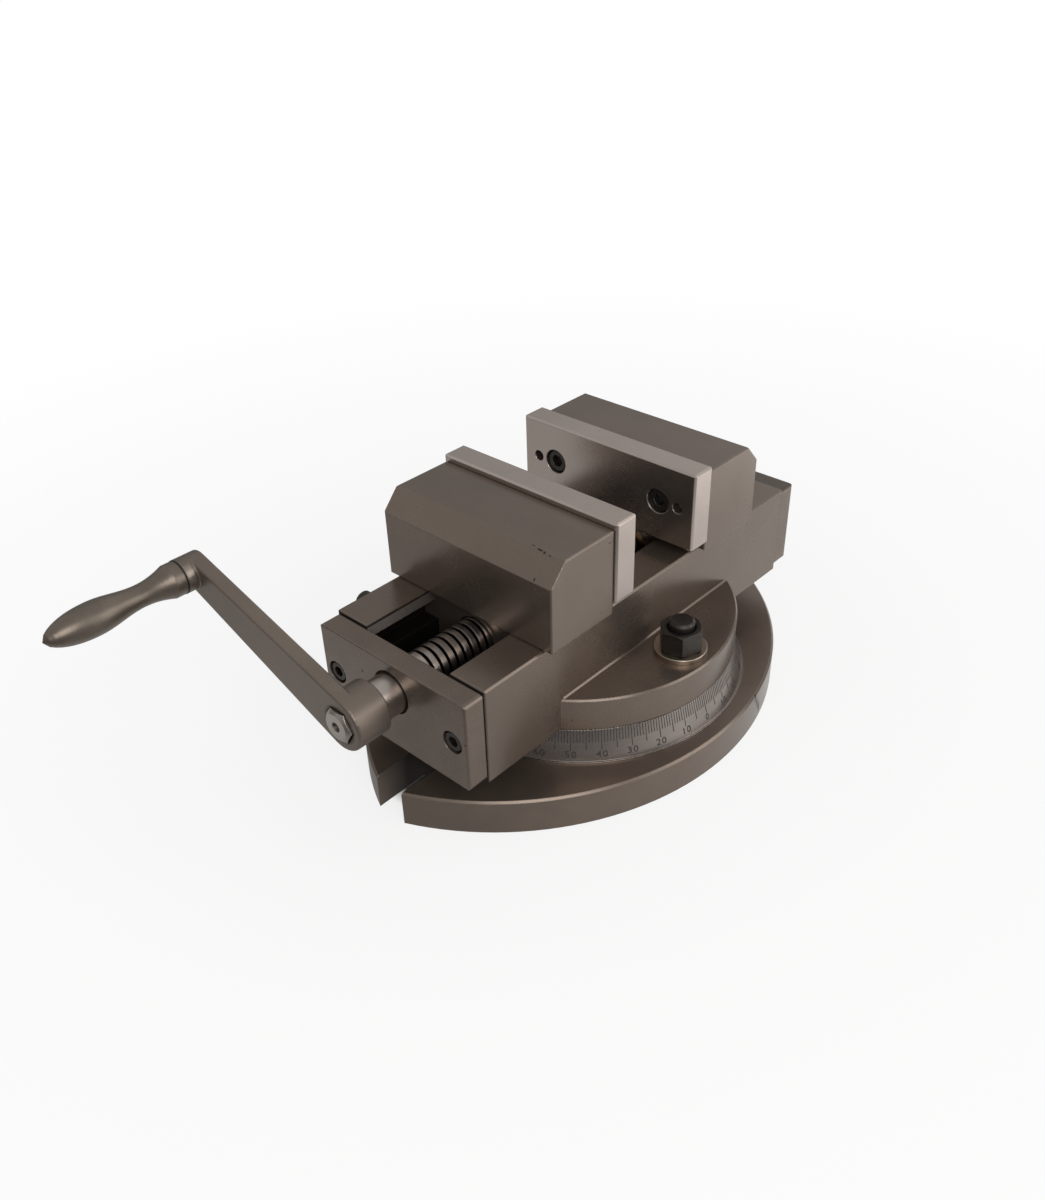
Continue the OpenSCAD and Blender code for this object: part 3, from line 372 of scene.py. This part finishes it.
def blend_colour(tree, kind, share, first, second):
    """One Mix node for colours. Returns its result. Its colours are inputs 6 and 7 and output 2."""
    node = tree.nodes.new("ShaderNodeMix")
    node.data_type = "RGBA"
    node.blend_type = kind
    for source, slot in ((share, 0), (first, 6), (second, 7)):
        put(tree, source, node.inputs[slot])
    return node.outputs[2]


def swing(tree, value, amount):
    """A value from 0 to 1 turned into a swing of so much round 0."""
    return calc(tree, "MULTIPLY", calc(tree, "SUBTRACT", value, 0.5), amount)


FILM_DULLS = 0.05
GRAIN_DULLS = 0.015
HOLLOW_COLOUR = (0.02, 0.018, 0.016, 1)
HOLLOW_SHARE = 0.8
HOLLOW_DULLS = 0.25
HOLLOW_DEEP = 4.0


def finish_steel(name, colour, bright, rough, metal=0.75, grain=ground_grain, squeeze=(1, 1, 1),
                 centre=(0, 0, 0), turn=(0, 0, 0), fineness=1500.0, streak=0.02, film=0.12,
                 film_size=0.03, depth=0.0000004, edge=0.0006, gain=3.0, pits=0.0, marks=(),
                 corners=()):
    """A machined steel: grinding or turning marks, oil film, worn edges with a painted highlight, pits and
    single marks.

    centre and turn bring the piece's own axis to Z, and squeeze draws the grain out lengthways.
    Each of marks is an oval: its middle and reach. Each of corners is a box: its middle, reach,
    fade, colour, share of that colour and roughness."""
    made, tree, shader, output = new_material(name)
    spot = object_place(tree)
    axis = tree.nodes.new("ShaderNodeMapping")
    axis.vector_type = "TEXTURE"
    axis.inputs["Location"].default_value = centre
    axis.inputs["Rotation"].default_value = turn
    link(tree, spot, axis.inputs["Vector"])
    drawn = tree.nodes.new("ShaderNodeMapping")
    drawn.inputs["Scale"].default_value = squeeze
    link(tree, axis.outputs[0], drawn.inputs["Vector"])
    lines = use(tree, grain, Place=drawn.outputs[0], Fineness=fineness)["Streak"]
    shade = use(tree, oil_film, Place=spot, Size=film_size)["Shade"]
    worn = use(tree, worn_and_highlit_edges, Place=spot, Width=edge, Gain=gain)
    tone = calc(tree, "ADD", calc(tree, "ADD", swing(tree, lines, streak), swing(tree, shade, film)), 1.0)
    painted = blend_colour(tree, "MULTIPLY", 1.0, (*colour, 1), grey(tree, tone))
    painted = blend_colour(tree, "MIX", worn["WearAndHighlight"], painted, (*bright, 1))
    matt = calc(tree, "ADD", rough, swing(tree, shade, FILM_DULLS))
    matt = calc(tree, "ADD", matt, swing(tree, lines, GRAIN_DULLS))
    for place, reach, fade, tint, full, dull in corners:
        mask = use(tree, corner_mask, Place=spot, Centre=place, Reach=reach, Fade=fade)["Mask"]
        mask = calc(tree, "MULTIPLY", mask, full)
        painted = blend_colour(tree, "MIX", mask, painted, (*tint, 1))
        matt = calc(tree, "ADD", calc(tree, "MULTIPLY", matt, calc(tree, "SUBTRACT", 1.0, mask)),
                    calc(tree, "MULTIPLY", mask, dull))
    dark = None
    if pits:
        dark = use(tree, pit_specks, Place=spot, Share=pits)["Speck"]
    for place, reach in marks:
        mark = use(tree, small_mark, Place=spot, Centre=place, Reach=reach)["Mark"]
        dark = mark if dark is None else calc(tree, "MAXIMUM", dark, mark)
    height = lines
    if dark is not None:
        painted = blend_colour(tree, "MIX", calc(tree, "MULTIPLY", dark, HOLLOW_SHARE), painted,
                               HOLLOW_COLOUR)
        matt = calc(tree, "ADD", matt, calc(tree, "MULTIPLY", dark, HOLLOW_DULLS))
        height = calc(tree, "SUBTRACT", lines, calc(tree, "MULTIPLY", dark, HOLLOW_DEEP))
    link(tree, painted, shader.inputs["Base Color"])
    link(tree, matt, shader.inputs["Roughness"])
    shader.inputs["Metallic"].default_value = metal
    bump = tree.nodes.new("ShaderNodeBump")
    bump.inputs["Strength"].default_value = 1.0
    bump.inputs["Distance"].default_value = depth
    link(tree, height, bump.inputs["Height"])
    link(tree, worn["Normal"], bump.inputs["Normal"])
    link(tree, bump.outputs[0], shader.inputs["Normal"])
    return made


def dress(made, *names):
    """Gives CAD nodes their material."""
    for name in names:
        nodes[name].data.materials.clear()
        nodes[name].data.materials.append(made)


SATIN = (0.181, 0.143, 0.1165)
SATIN_EDGE = (0.37, 0.33, 0.295)
# a near-black used both for real grime and for painted shade
GRIME_AND_SHADE = (0.010, 0.009, 0.008)
# painted shade on the walls of the slot in the front tip, round its inner end
TIP_SLOT_SHADE = ((0.0, -0.092, 0.0085), (0.0082, 0.017, 0.0092), (0.0002, 0.016, 0.0002), GRIME_AND_SHADE, 0.92, 0.5)
# a slanted scratch across the flange's right-hand rim
SCRATCH_REACH = (0.0016, 0.0008, 0.0034)
SCRATCH_PATH = ((0.0863, 0.0299, 0.0156), (0.0858, 0.0322, 0.0120), (0.0852, 0.0345, 0.0085),
                (0.0847, 0.0366, 0.0052))
rim_scratch = tuple((place, SCRATCH_REACH) for place in SCRATCH_PATH)
dress(finish_steel("base_steel", SATIN, SATIN_EDGE, rough=0.30, squeeze=(1, 0.05, 1), film=0.14,
                   edge=0.0005, gain=2.2, pits=0.18, marks=rim_scratch, corners=(TIP_SLOT_SHADE,)),
      "swivel_base")


# Degree collar: a ring of bright turned steel pressed over the base's round, cone-shaped on its
# outside and engraved with a line at every degree and a number at every tenth.
def from_axis(tree, first, second):
    """The distance from an axis, from the two coordinates across it."""
    return calc(tree, "SQRT", calc(tree, "ADD", calc(tree, "MULTIPLY", first, first),
                                   calc(tree, "MULTIPLY", second, second)))


# rings left by a lathe round the Z axis of Place, on flat faces and on round ones; a turn of a
# radian counts as a very short way, so that the rings run on
RING_WAY = 0.002
turned_grain, start, end = new_group(
    "turned_grain", [("Place", VECTOR, None), ("Fineness", FLOAT, 1500.0)], [("Streak", FLOAT)])
tree = turned_grain
parts = split(tree, start["Place"])
ring_place = tree.nodes.new("ShaderNodeCombineXYZ")
round_way = calc(tree, "MULTIPLY", calc(tree, "ARCTAN2", parts[1], parts[0]), RING_WAY)
for value, socket in zip((from_axis(tree, parts[0], parts[1]), round_way, parts[2]), ring_place.inputs):
    link(tree, value, socket)
streaks = noise(tree, ring_place.outputs[0], start["Fineness"], GRAIN_DETAIL, GRAIN_BREAK)
link(tree, spread(tree, streaks, *GRAIN_RANGE), end["Streak"])

COLLAR_BRIGHT = (0.292, 0.256, 0.234)
COLLAR_EDGE = (0.60, 0.55, 0.51)
dress(finish_steel("collar_steel", COLLAR_BRIGHT, COLLAR_EDGE, rough=0.26, metal=1.0, grain=turned_grain,
                   fineness=2600, streak=0.12, film=0.22, film_size=0.03, depth=0.000001,
                   edge=0.0003, gain=1.5), "degree_collar")

# the engraving is filled with black, which is worn thin in places
INK = (0.030, 0.026, 0.023, 1)
INK_WORN = (0.085, 0.075, 0.068, 1)
INK_FINENESS = 900.0
INK_RANGE = (0.35, 0.7)
INK_METAL = 0.4
INK_ROUGHNESS = (0.5, 0.75)
ink, tree, shader, output = new_material("engraving_black")
worn_ink = spread(tree, noise(tree, object_place(tree), INK_FINENESS, detail=3.0), *INK_RANGE)
link(tree, blend_colour(tree, "MIX", worn_ink, INK, INK_WORN), shader.inputs["Base Color"])
link(tree, spread(tree, worn_ink, 0.0, 1.0, *INK_ROUGHNESS), shader.inputs["Roughness"])
shader.inputs["Metallic"].default_value = INK_METAL

# radius and height of the cone's foot and top
CONE_FOOT = (0.0817, 0.0185)
CONE_TOP = (0.0773, 0.0330)
SCALE_TURN = radians(-1.6)
LINE_WIDTH = 0.00044
LINE_PROUD = 0.00002
LINE_SUNK = 0.00004
MERGE_WITHIN = 0.000001
# heights of the top and foot of each ring of lines, and how many lines it has
LINE_RINGS = {
    "degree_lines": (0.03295, 0.0272, 360),
    "five_degree_lines": (0.0272, 0.0240, 72),
    "ten_degree_lines": (0.0240, 0.0237, 36),
}


def cone_radius(height):
    """Radius of the collar's cone at a height."""
    share = (height - CONE_FOOT[1]) / (CONE_TOP[1] - CONE_FOOT[1])
    return CONE_FOOT[0] + share * (CONE_TOP[0] - CONE_FOOT[0])


def engrave(piece):
    """Fills a piece of the scale with black, and fixes it to the base's collar."""
    piece.data.materials.append(ink)
    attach(piece, "base")


def degree_ring(name, top, foot, steps):
    """A ring of engraved lines, one made as a thin bar on the cone and spun round the axis."""
    bpy.ops.object.select_all(action="DESELECT")
    bpy.ops.mesh.primitive_cube_add(size=1, location=(0, 0, 0))
    bar = bpy.context.object
    bar.name = name
    bar.scale = (LINE_PROUD + LINE_SUNK, LINE_WIDTH, 1)
    bpy.ops.object.transform_apply(location=False, rotation=False, scale=True)
    middle = (LINE_PROUD - LINE_SUNK) / 2
    for corner in bar.data.vertices:
        height = top if corner.co.z > 0 else foot
        corner.co = (corner.co.x + middle + cone_radius(height), corner.co.y, height)
    bpy.ops.object.mode_set(mode="EDIT")
    bpy.ops.mesh.select_all(action="SELECT")
    bpy.ops.mesh.spin(steps=steps, dupli=True, angle=2 * pi, center=(0, 0, 0), axis=(0, 0, 1))
    bpy.ops.mesh.select_all(action="SELECT")
    bpy.ops.mesh.remove_doubles(threshold=MERGE_WITHIN)
    bpy.ops.object.mode_set(mode="OBJECT")
    bar.data.transform(Matrix.Rotation(SCALE_TURN, 4, "Z"))
    engrave(bar)


for name, (top, foot, steps) in LINE_RINGS.items():
    degree_ring(name, top, foot, steps)

# the numbers count up from 0 to 90 and down again, twice round
NUMBER_STEP = 10
NUMBER_HEIGHT = 0.0031
NUMBER_MIDDLE = 0.0216
NUMBER_SPACING = 1.15
NUMBER_STRETCH = 1.12
NUMBER_BOLD = 0.00005
NUMBER_CURVE_STEPS = 3
# height of a digit as a share of the font's size
DIGIT_SHARE = 0.7
cone_lean = atan2(CONE_FOOT[0] - CONE_TOP[0], CONE_TOP[1] - CONE_FOOT[1])
for degrees in range(0, 360, NUMBER_STEP):
    words = bpy.data.curves.new("degree_number_%d" % degrees, "FONT")
    words.body = str(min(degrees % 180, 180 - degrees % 180))
    words.align_x = "CENTER"
    words.align_y = "CENTER"
    words.size = NUMBER_HEIGHT / DIGIT_SHARE
    words.space_character = NUMBER_SPACING
    words.offset = NUMBER_BOLD
    words.extrude = (LINE_PROUD + LINE_SUNK) / 2
    words.resolution_u = NUMBER_CURVE_STEPS
    number = bpy.data.objects.new(words.name, words)
    bpy.context.scene.collection.objects.link(number)
    bpy.ops.object.select_all(action="DESELECT")
    number.select_set(True)
    bpy.context.view_layer.objects.active = number
    bpy.ops.object.convert(target="MESH")
    number = bpy.context.object
    turn = radians(degrees) + SCALE_TURN
    across = Vector((-sin(turn), cos(turn), 0))
    upward = Vector((-sin(cone_lean) * cos(turn), -sin(cone_lean) * sin(turn), cos(cone_lean)))
    outward = across.cross(upward)
    radius = cone_radius(NUMBER_MIDDLE)
    place = Vector((radius * cos(turn), radius * sin(turn), NUMBER_MIDDLE))
    place += outward * (LINE_PROUD - LINE_SUNK) / 2
    number_axes = Matrix((across * NUMBER_STRETCH, upward, outward)).transposed()
    number.data.transform(Matrix.Translation(place) @ number_axes.to_4x4())
    engrave(number)

# Pivot pin: turned steel with a wide head, pressed up into the base from below. The bed turns on
# its upper end.
PIN_COLOUR = (0.36, 0.32, 0.29)
PIN_EDGE = (0.6, 0.56, 0.52)
pin_steel = finish_steel("pin_steel", PIN_COLOUR, PIN_EDGE, rough=0.32, metal=1.0, grain=turned_grain,
                         fineness=1800, streak=0.2, depth=0.000008)
dress(pin_steel, "pivot_pin")

# Swivel clamp: a square-headed bolt through each ear of the bed, with a plated washer and a
# black oxide nut.
BLACK = (0.052, 0.046, 0.0405)
BLACK_EDGE = (0.11, 0.098, 0.088)
PLATED = (0.42, 0.350, 0.285)
PLATED_EDGE = (0.85, 0.75, 0.65)
black_steel = finish_steel("black_steel", BLACK, BLACK_EDGE, rough=0.36, metal=0.8, fineness=900,
                           streak=0.3, film=0.4, film_size=0.008, depth=0.000010, edge=0.0005,
                           gain=4.0)
dress(black_steel, "swivel_bolts", "swivel_nut_right", "swivel_nut_left")
dress(finish_steel("washer_steel", PLATED, PLATED_EDGE, rough=0.34, metal=1.0, fineness=700, streak=0.12,
                   film=0.3, film_size=0.012, edge=0.0007, gain=4.0), "swivel_washers")

# Bed: the long block with the T-shaped slot for the jaws, in one piece with the round disc
# below whose edges are the two ears. Its top and sides are ground lengthways, and a small black
# screw sits in its left side.
BED_END = 0.1086
# painted shade in the channel and its undercut, and a dark line painted along the bevel at the slot's top
# edges
CHANNEL_SHADE = ((0.0, 0.0, 0.0600), (0.0345, 0.1087, 0.0147), (0.0002, 0.0002, 0.0002), GRIME_AND_SHADE, 0.95, 0.45)
SLOT_EDGE_DARK_LINE = ((0.0, 0.0, 0.0807), (0.0257, 0.1100, 0.0005), (0.0001, 0.001, 0.0002), GRIME_AND_SHADE, 0.8, 0.45)
# painted reflection: the slot's neck walls are lighter, most at their ends
NECK_REFLECTION = (0.62, 0.54, 0.49)
neck_reflections = tuple(((0.0, side * BED_END, 0.0775), (0.0253, 0.010, 0.0026), (0.0001, 0.034, 0.0002),
                   NECK_REFLECTION, 1.0, 0.16) for side in (-1, 1))
# dirt in the seams where the end plates lie against the bed
seams = tuple(((0.0, side * BED_END, 0.0574), (0.05, 0.0002, 0.03), (0.001, 0.0002, 0.001), GRIME_AND_SHADE, 0.9, 0.6)
              for side in (-1, 1))
dress(finish_steel("bed_steel", SATIN, SATIN_EDGE, rough=0.27, squeeze=(1, 0.03, 0.6), film=0.12,
                   edge=0.0005, gain=2.2, pits=0.2,
                   corners=neck_reflections + (CHANNEL_SHADE, SLOT_EDGE_DARK_LINE) + seams), "vise_body")
dress(black_steel, "side_screw")

# End plates: two ground plates that close the bed's slot and carry the screw's outer ends, each
# held by two sunk cap screws.
# two small dark nicks in the front plate's face
NICKS = (((-0.0179, -0.1193, 0.0673), (0.0006, 0.002, 0.0007)),
         ((0.0432, -0.1193, 0.0603), (0.0005, 0.002, 0.0005)))
dress(finish_steel("end_plate_steel", SATIN, SATIN_EDGE, rough=0.28, squeeze=(0.05, 1, 1), film=0.2,
                   pits=0.15, marks=NICKS, corners=seams), "front_end_plate")
# the rear plate's top is painted darker
PLATE_TOP_TONE = (0.085, 0.068, 0.055)
PLATE_TOP_DARK = ((0.0, 0.1140, 0.0800), (0.0443, 0.0053, 0.0005), (0.0006, 0.0006, 0.0004), PLATE_TOP_TONE, 0.85, 0.30)
dress(finish_steel("rear_plate_steel", SATIN, SATIN_EDGE, rough=0.28, squeeze=(0.05, 1, 1), film=0.2,
                   pits=0.2, corners=seams + (PLATE_TOP_DARK,)), "rear_end_plate")
dress(black_steel, "front_plate_screws", "rear_plate_screws")

# Bushings and thrust washers: turned bronze, pressed into the plates and laid against the
# middle bearing.
SCREW_HEIGHT = 0.0649
Z_ALONG_Y = (radians(90), 0, 0)
BRONZE = (0.24, 0.165, 0.095)
BRONZE_EDGE = (0.55, 0.40, 0.24)
bronze = finish_steel("bronze", BRONZE, BRONZE_EDGE, rough=0.38, metal=1.0, grain=turned_grain,
                      centre=(0, 0, SCREW_HEIGHT), turn=Z_ALONG_Y, fineness=1800, streak=0.15,
                      film=0.3, depth=0.000006)
dress(bronze, "front_bushing", "rear_bushing", "thrust_washers")

# Middle bearing: a steel saddle that stands in the bed's channel and a cap over it, screwed down
# round the screw's middle journal by two cap screws.
dress(finish_steel("bearing_block_steel", SATIN, SATIN_EDGE, rough=0.34, squeeze=(0.05, 1, 1)),
      "bearing_saddle", "bearing_cap")
dress(black_steel, "bearing_screws")

# Lead screw: one bright turned bar with a left-hand thread in front, a right-hand thread
# behind, plain journals between and at its ends, and a hexagonal front end for the crank.
SCREW_COLOUR = (0.44, 0.392, 0.358)
SCREW_EDGE = (0.75, 0.70, 0.66)
# the hole that the lathe's centre left in the front end
CENTRE_HOLE = ((0.0, -0.1490, SCREW_HEIGHT), (0.0026, 0.008, 0.0026))
screw_steel = finish_steel("screw_steel", SCREW_COLOUR, SCREW_EDGE, rough=0.31, metal=1.0,
                           grain=turned_grain, centre=(0, 0, SCREW_HEIGHT), turn=Z_ALONG_Y,
                           fineness=1600, streak=0.12, film=0.20, film_size=0.02, depth=0.000002,
                           edge=0.0003, gain=1.5, marks=(CENTRE_HOLE,))
# old oil and grime, and painted shade, darken the bottom of the thread, from its root nearly up to its
# crest
GROOVE_FADE = (0.0093, 0.0100, 1.0, 0.0)
GROOVE_SHARE = 0.95
JOURNAL_FROM = BED_END
MIDDLE_TO = 0.0125
tree = screw_steel.node_tree
base_colour = tree.nodes["Principled BSDF"].inputs["Base Color"]
parts = split(tree, object_place(tree))
height = calc(tree, "SUBTRACT", parts[2], SCREW_HEIGHT)
lengthways = calc(tree, "ABSOLUTE", parts[1])
threaded = calc(tree, "MULTIPLY", calc(tree, "LESS_THAN", lengthways, JOURNAL_FROM),
                calc(tree, "GREATER_THAN", lengthways, MIDDLE_TO))
groove = calc(tree, "MULTIPLY", threaded, spread(tree, from_axis(tree, parts[0], height), *GROOVE_FADE))
painted = base_colour.links[0].from_socket
link(tree, blend_colour(tree, "MIX", calc(tree, "MULTIPLY", groove, GROOVE_SHARE), painted, (*GRIME_AND_SHADE, 1)),
     base_colour)
dress(screw_steel, "lead_screw")

THREAD_START = 0.0127
THREAD_PITCH = 0.0044
THREAD_TURNS = 21
THREAD_STEPS = 64
SMOOTH_UP_TO = radians(30)
# corners of one ridge: share of the pitch along the screw, and radius
RIDGE = ((-0.02, 0.0079), (0.07, 0.01022), (0.67, 0.01022), (0.76, 0.0079))
# the corners of a new plane, in the order that goes round it
ROUND_PLANE = (0, 1, 3, 2)


def thread_ridge(name, side):
    """The round ridge of one thread over the faceted one of the solid, as the lathe cut it."""
    bpy.ops.object.select_all(action="DESELECT")
    bpy.ops.mesh.primitive_plane_add(size=1, location=(0, 0, 0))
    ridge = bpy.context.object
    ridge.name = name
    for corner, (share, radius) in zip(ROUND_PLANE, RIDGE):
        ridge.data.vertices[corner].co = (radius, 0, THREAD_START + share * THREAD_PITCH)
    bpy.ops.object.mode_set(mode="EDIT")
    bpy.ops.mesh.select_all(action="SELECT")
    bpy.ops.mesh.delete(type="ONLY_FACE")
    bpy.ops.object.mode_set(mode="OBJECT")
    screw = ridge.modifiers.new("turns", "SCREW")
    screw.axis = "Z"
    screw.angle = 2 * pi
    screw.screw_offset = THREAD_PITCH
    screw.iterations = THREAD_TURNS
    screw.steps = THREAD_STEPS
    screw.render_steps = THREAD_STEPS
    bpy.ops.object.modifier_apply(modifier=screw.name)
    # its Z goes along the lead screw, and the front thread is the mirror image of the rear one, so
    # it is left-handed
    ridge.data.transform(Matrix(((-1, 0, 0, 0), (0, 0, side, 0), (0, 1, 0, SCREW_HEIGHT), (0, 0, 0, 1))))
    bpy.ops.object.mode_set(mode="EDIT")
    bpy.ops.mesh.select_all(action="SELECT")
    bpy.ops.mesh.remove_doubles(threshold=MERGE_WITHIN)
    bpy.ops.mesh.fill_holes(sides=4)
    bpy.ops.mesh.select_all(action="SELECT")
    bpy.ops.mesh.normals_make_consistent(inside=False)
    bpy.ops.object.mode_set(mode="OBJECT")
    bpy.ops.object.shade_smooth_by_angle(angle=SMOOTH_UP_TO)
    ridge.data.materials.append(screw_steel)
    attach(ridge, "screw")


thread_ridge("front_thread", -1)
thread_ridge("rear_thread", 1)

# Jaws: two steel blocks that slide in the bed's slot, ground all over, with a bevel along the
# outer top edge.
JAW_GROUND = (0.03, 1, 0.6)
# rubs along the front jaw's top edge and one small dent in its slope
JAW_MARKS = (((0.0318, -0.0638, 0.1230), (0.0012, 0.0004, 0.001)),
             ((0.0358, -0.0644, 0.1230), (0.0017, 0.0005, 0.001)),
             ((0.0384, -0.0652, 0.1230), (0.0010, 0.0011, 0.001)),
             ((0.0414, -0.0650, 0.1230), (0.0013, 0.0004, 0.001)),
             ((0.0396, -0.0724, 0.1141), (0.0005, 0.0010, 0.0010)))
dress(finish_steel("jaw_steel", SATIN, SATIN_EDGE, rough=0.26, squeeze=JAW_GROUND, film=0.12,
                   pits=0.3, marks=JAW_MARKS), "front_jaw")
dress(finish_steel("rear_jaw_steel", SATIN, SATIN_EDGE, rough=0.26, squeeze=JAW_GROUND, film=0.12,
                   pits=0.25), "rear_jaw")

# Jaw plates: hardened and ground bright plates, each held on its jaw by two sunk cap screws and
# with two plain holes for a work stop.
JAW_PLATE_COLOUR = (0.47, 0.403, 0.362)
JAW_PLATE_EDGE = (0.66, 0.60, 0.55)
dress(finish_steel("jaw_plate_steel", JAW_PLATE_COLOUR, JAW_PLATE_EDGE, rough=0.26, metal=0.95,
                   squeeze=(0.04, 1, 1), streak=0.03, film=0.08, depth=0.0000001, edge=0.0006,
                   pits=0.12), "front_jaw_plate", "rear_jaw_plate")
dress(black_steel, "front_jaw_screws", "rear_jaw_screws")

# Jaw nuts: threaded bronze, left-hand in the front jaw and right-hand in the rear one, each
# kept from turning by a key pin of turned steel.
dress(bronze, "front_jaw_nut", "rear_jaw_nut")
dress(pin_steel, "front_nut_key", "rear_nut_key")

# Crank: a forged and ground arm with a hexagonal socket in its hub, and a turned steel grip
# that spins on a spindle, kept on by a split ring.
CRANK_COLOUR = (0.192, 0.157, 0.129)
GRIP_COLOUR = (0.172, 0.143, 0.116)
BOSS_BRIGHT = (0.40, 0.35, 0.30)
GRIP_ACROSS = -0.09515
GRIP_HEIGHT = 0.09878
# grime in the joint between the boss and the grip, and a patch of the boss that hands keep bright
GRIP_JOINT = ((GRIP_ACROSS, -0.1525, GRIP_HEIGHT), (0.0088, 0.0002, 0.0088), (0.0004, 0.0004, 0.0004),
              GRIME_AND_SHADE, 0.85, 0.6)
BOSS_WORN = ((-0.0868, -0.1502, 0.1022), (0.0026, 0.0010, 0.0026), (0.0022, 0.0010, 0.0022),
             BOSS_BRIGHT, 0.6, 0.28)
# a dark ring painted round the hexagon, in the face of the hub
SOCKET_DARK_RING = ((0.0, -0.1470, SCREW_HEIGHT), (0.0096, 0.0006, 0.0096))
dress(finish_steel("crank_steel", CRANK_COLOUR, SATIN_EDGE, rough=0.40, squeeze=(0.2, 1, 1), film=0.16,
                   edge=0.0008, pits=0.15, marks=(SOCKET_DARK_RING,), corners=(BOSS_WORN, GRIP_JOINT)),
      "crank_arm")
dress(finish_steel("grip_steel", GRIP_COLOUR, SATIN_EDGE, rough=0.34, grain=turned_grain,
                   centre=(GRIP_ACROSS, 0, GRIP_HEIGHT), turn=Z_ALONG_Y, fineness=1300, streak=0.05,
                   film=0.24, film_size=0.012, depth=0.000001, corners=(GRIP_JOINT,)), "grip")
dress(pin_steel, "grip_spindle", "grip_ring")
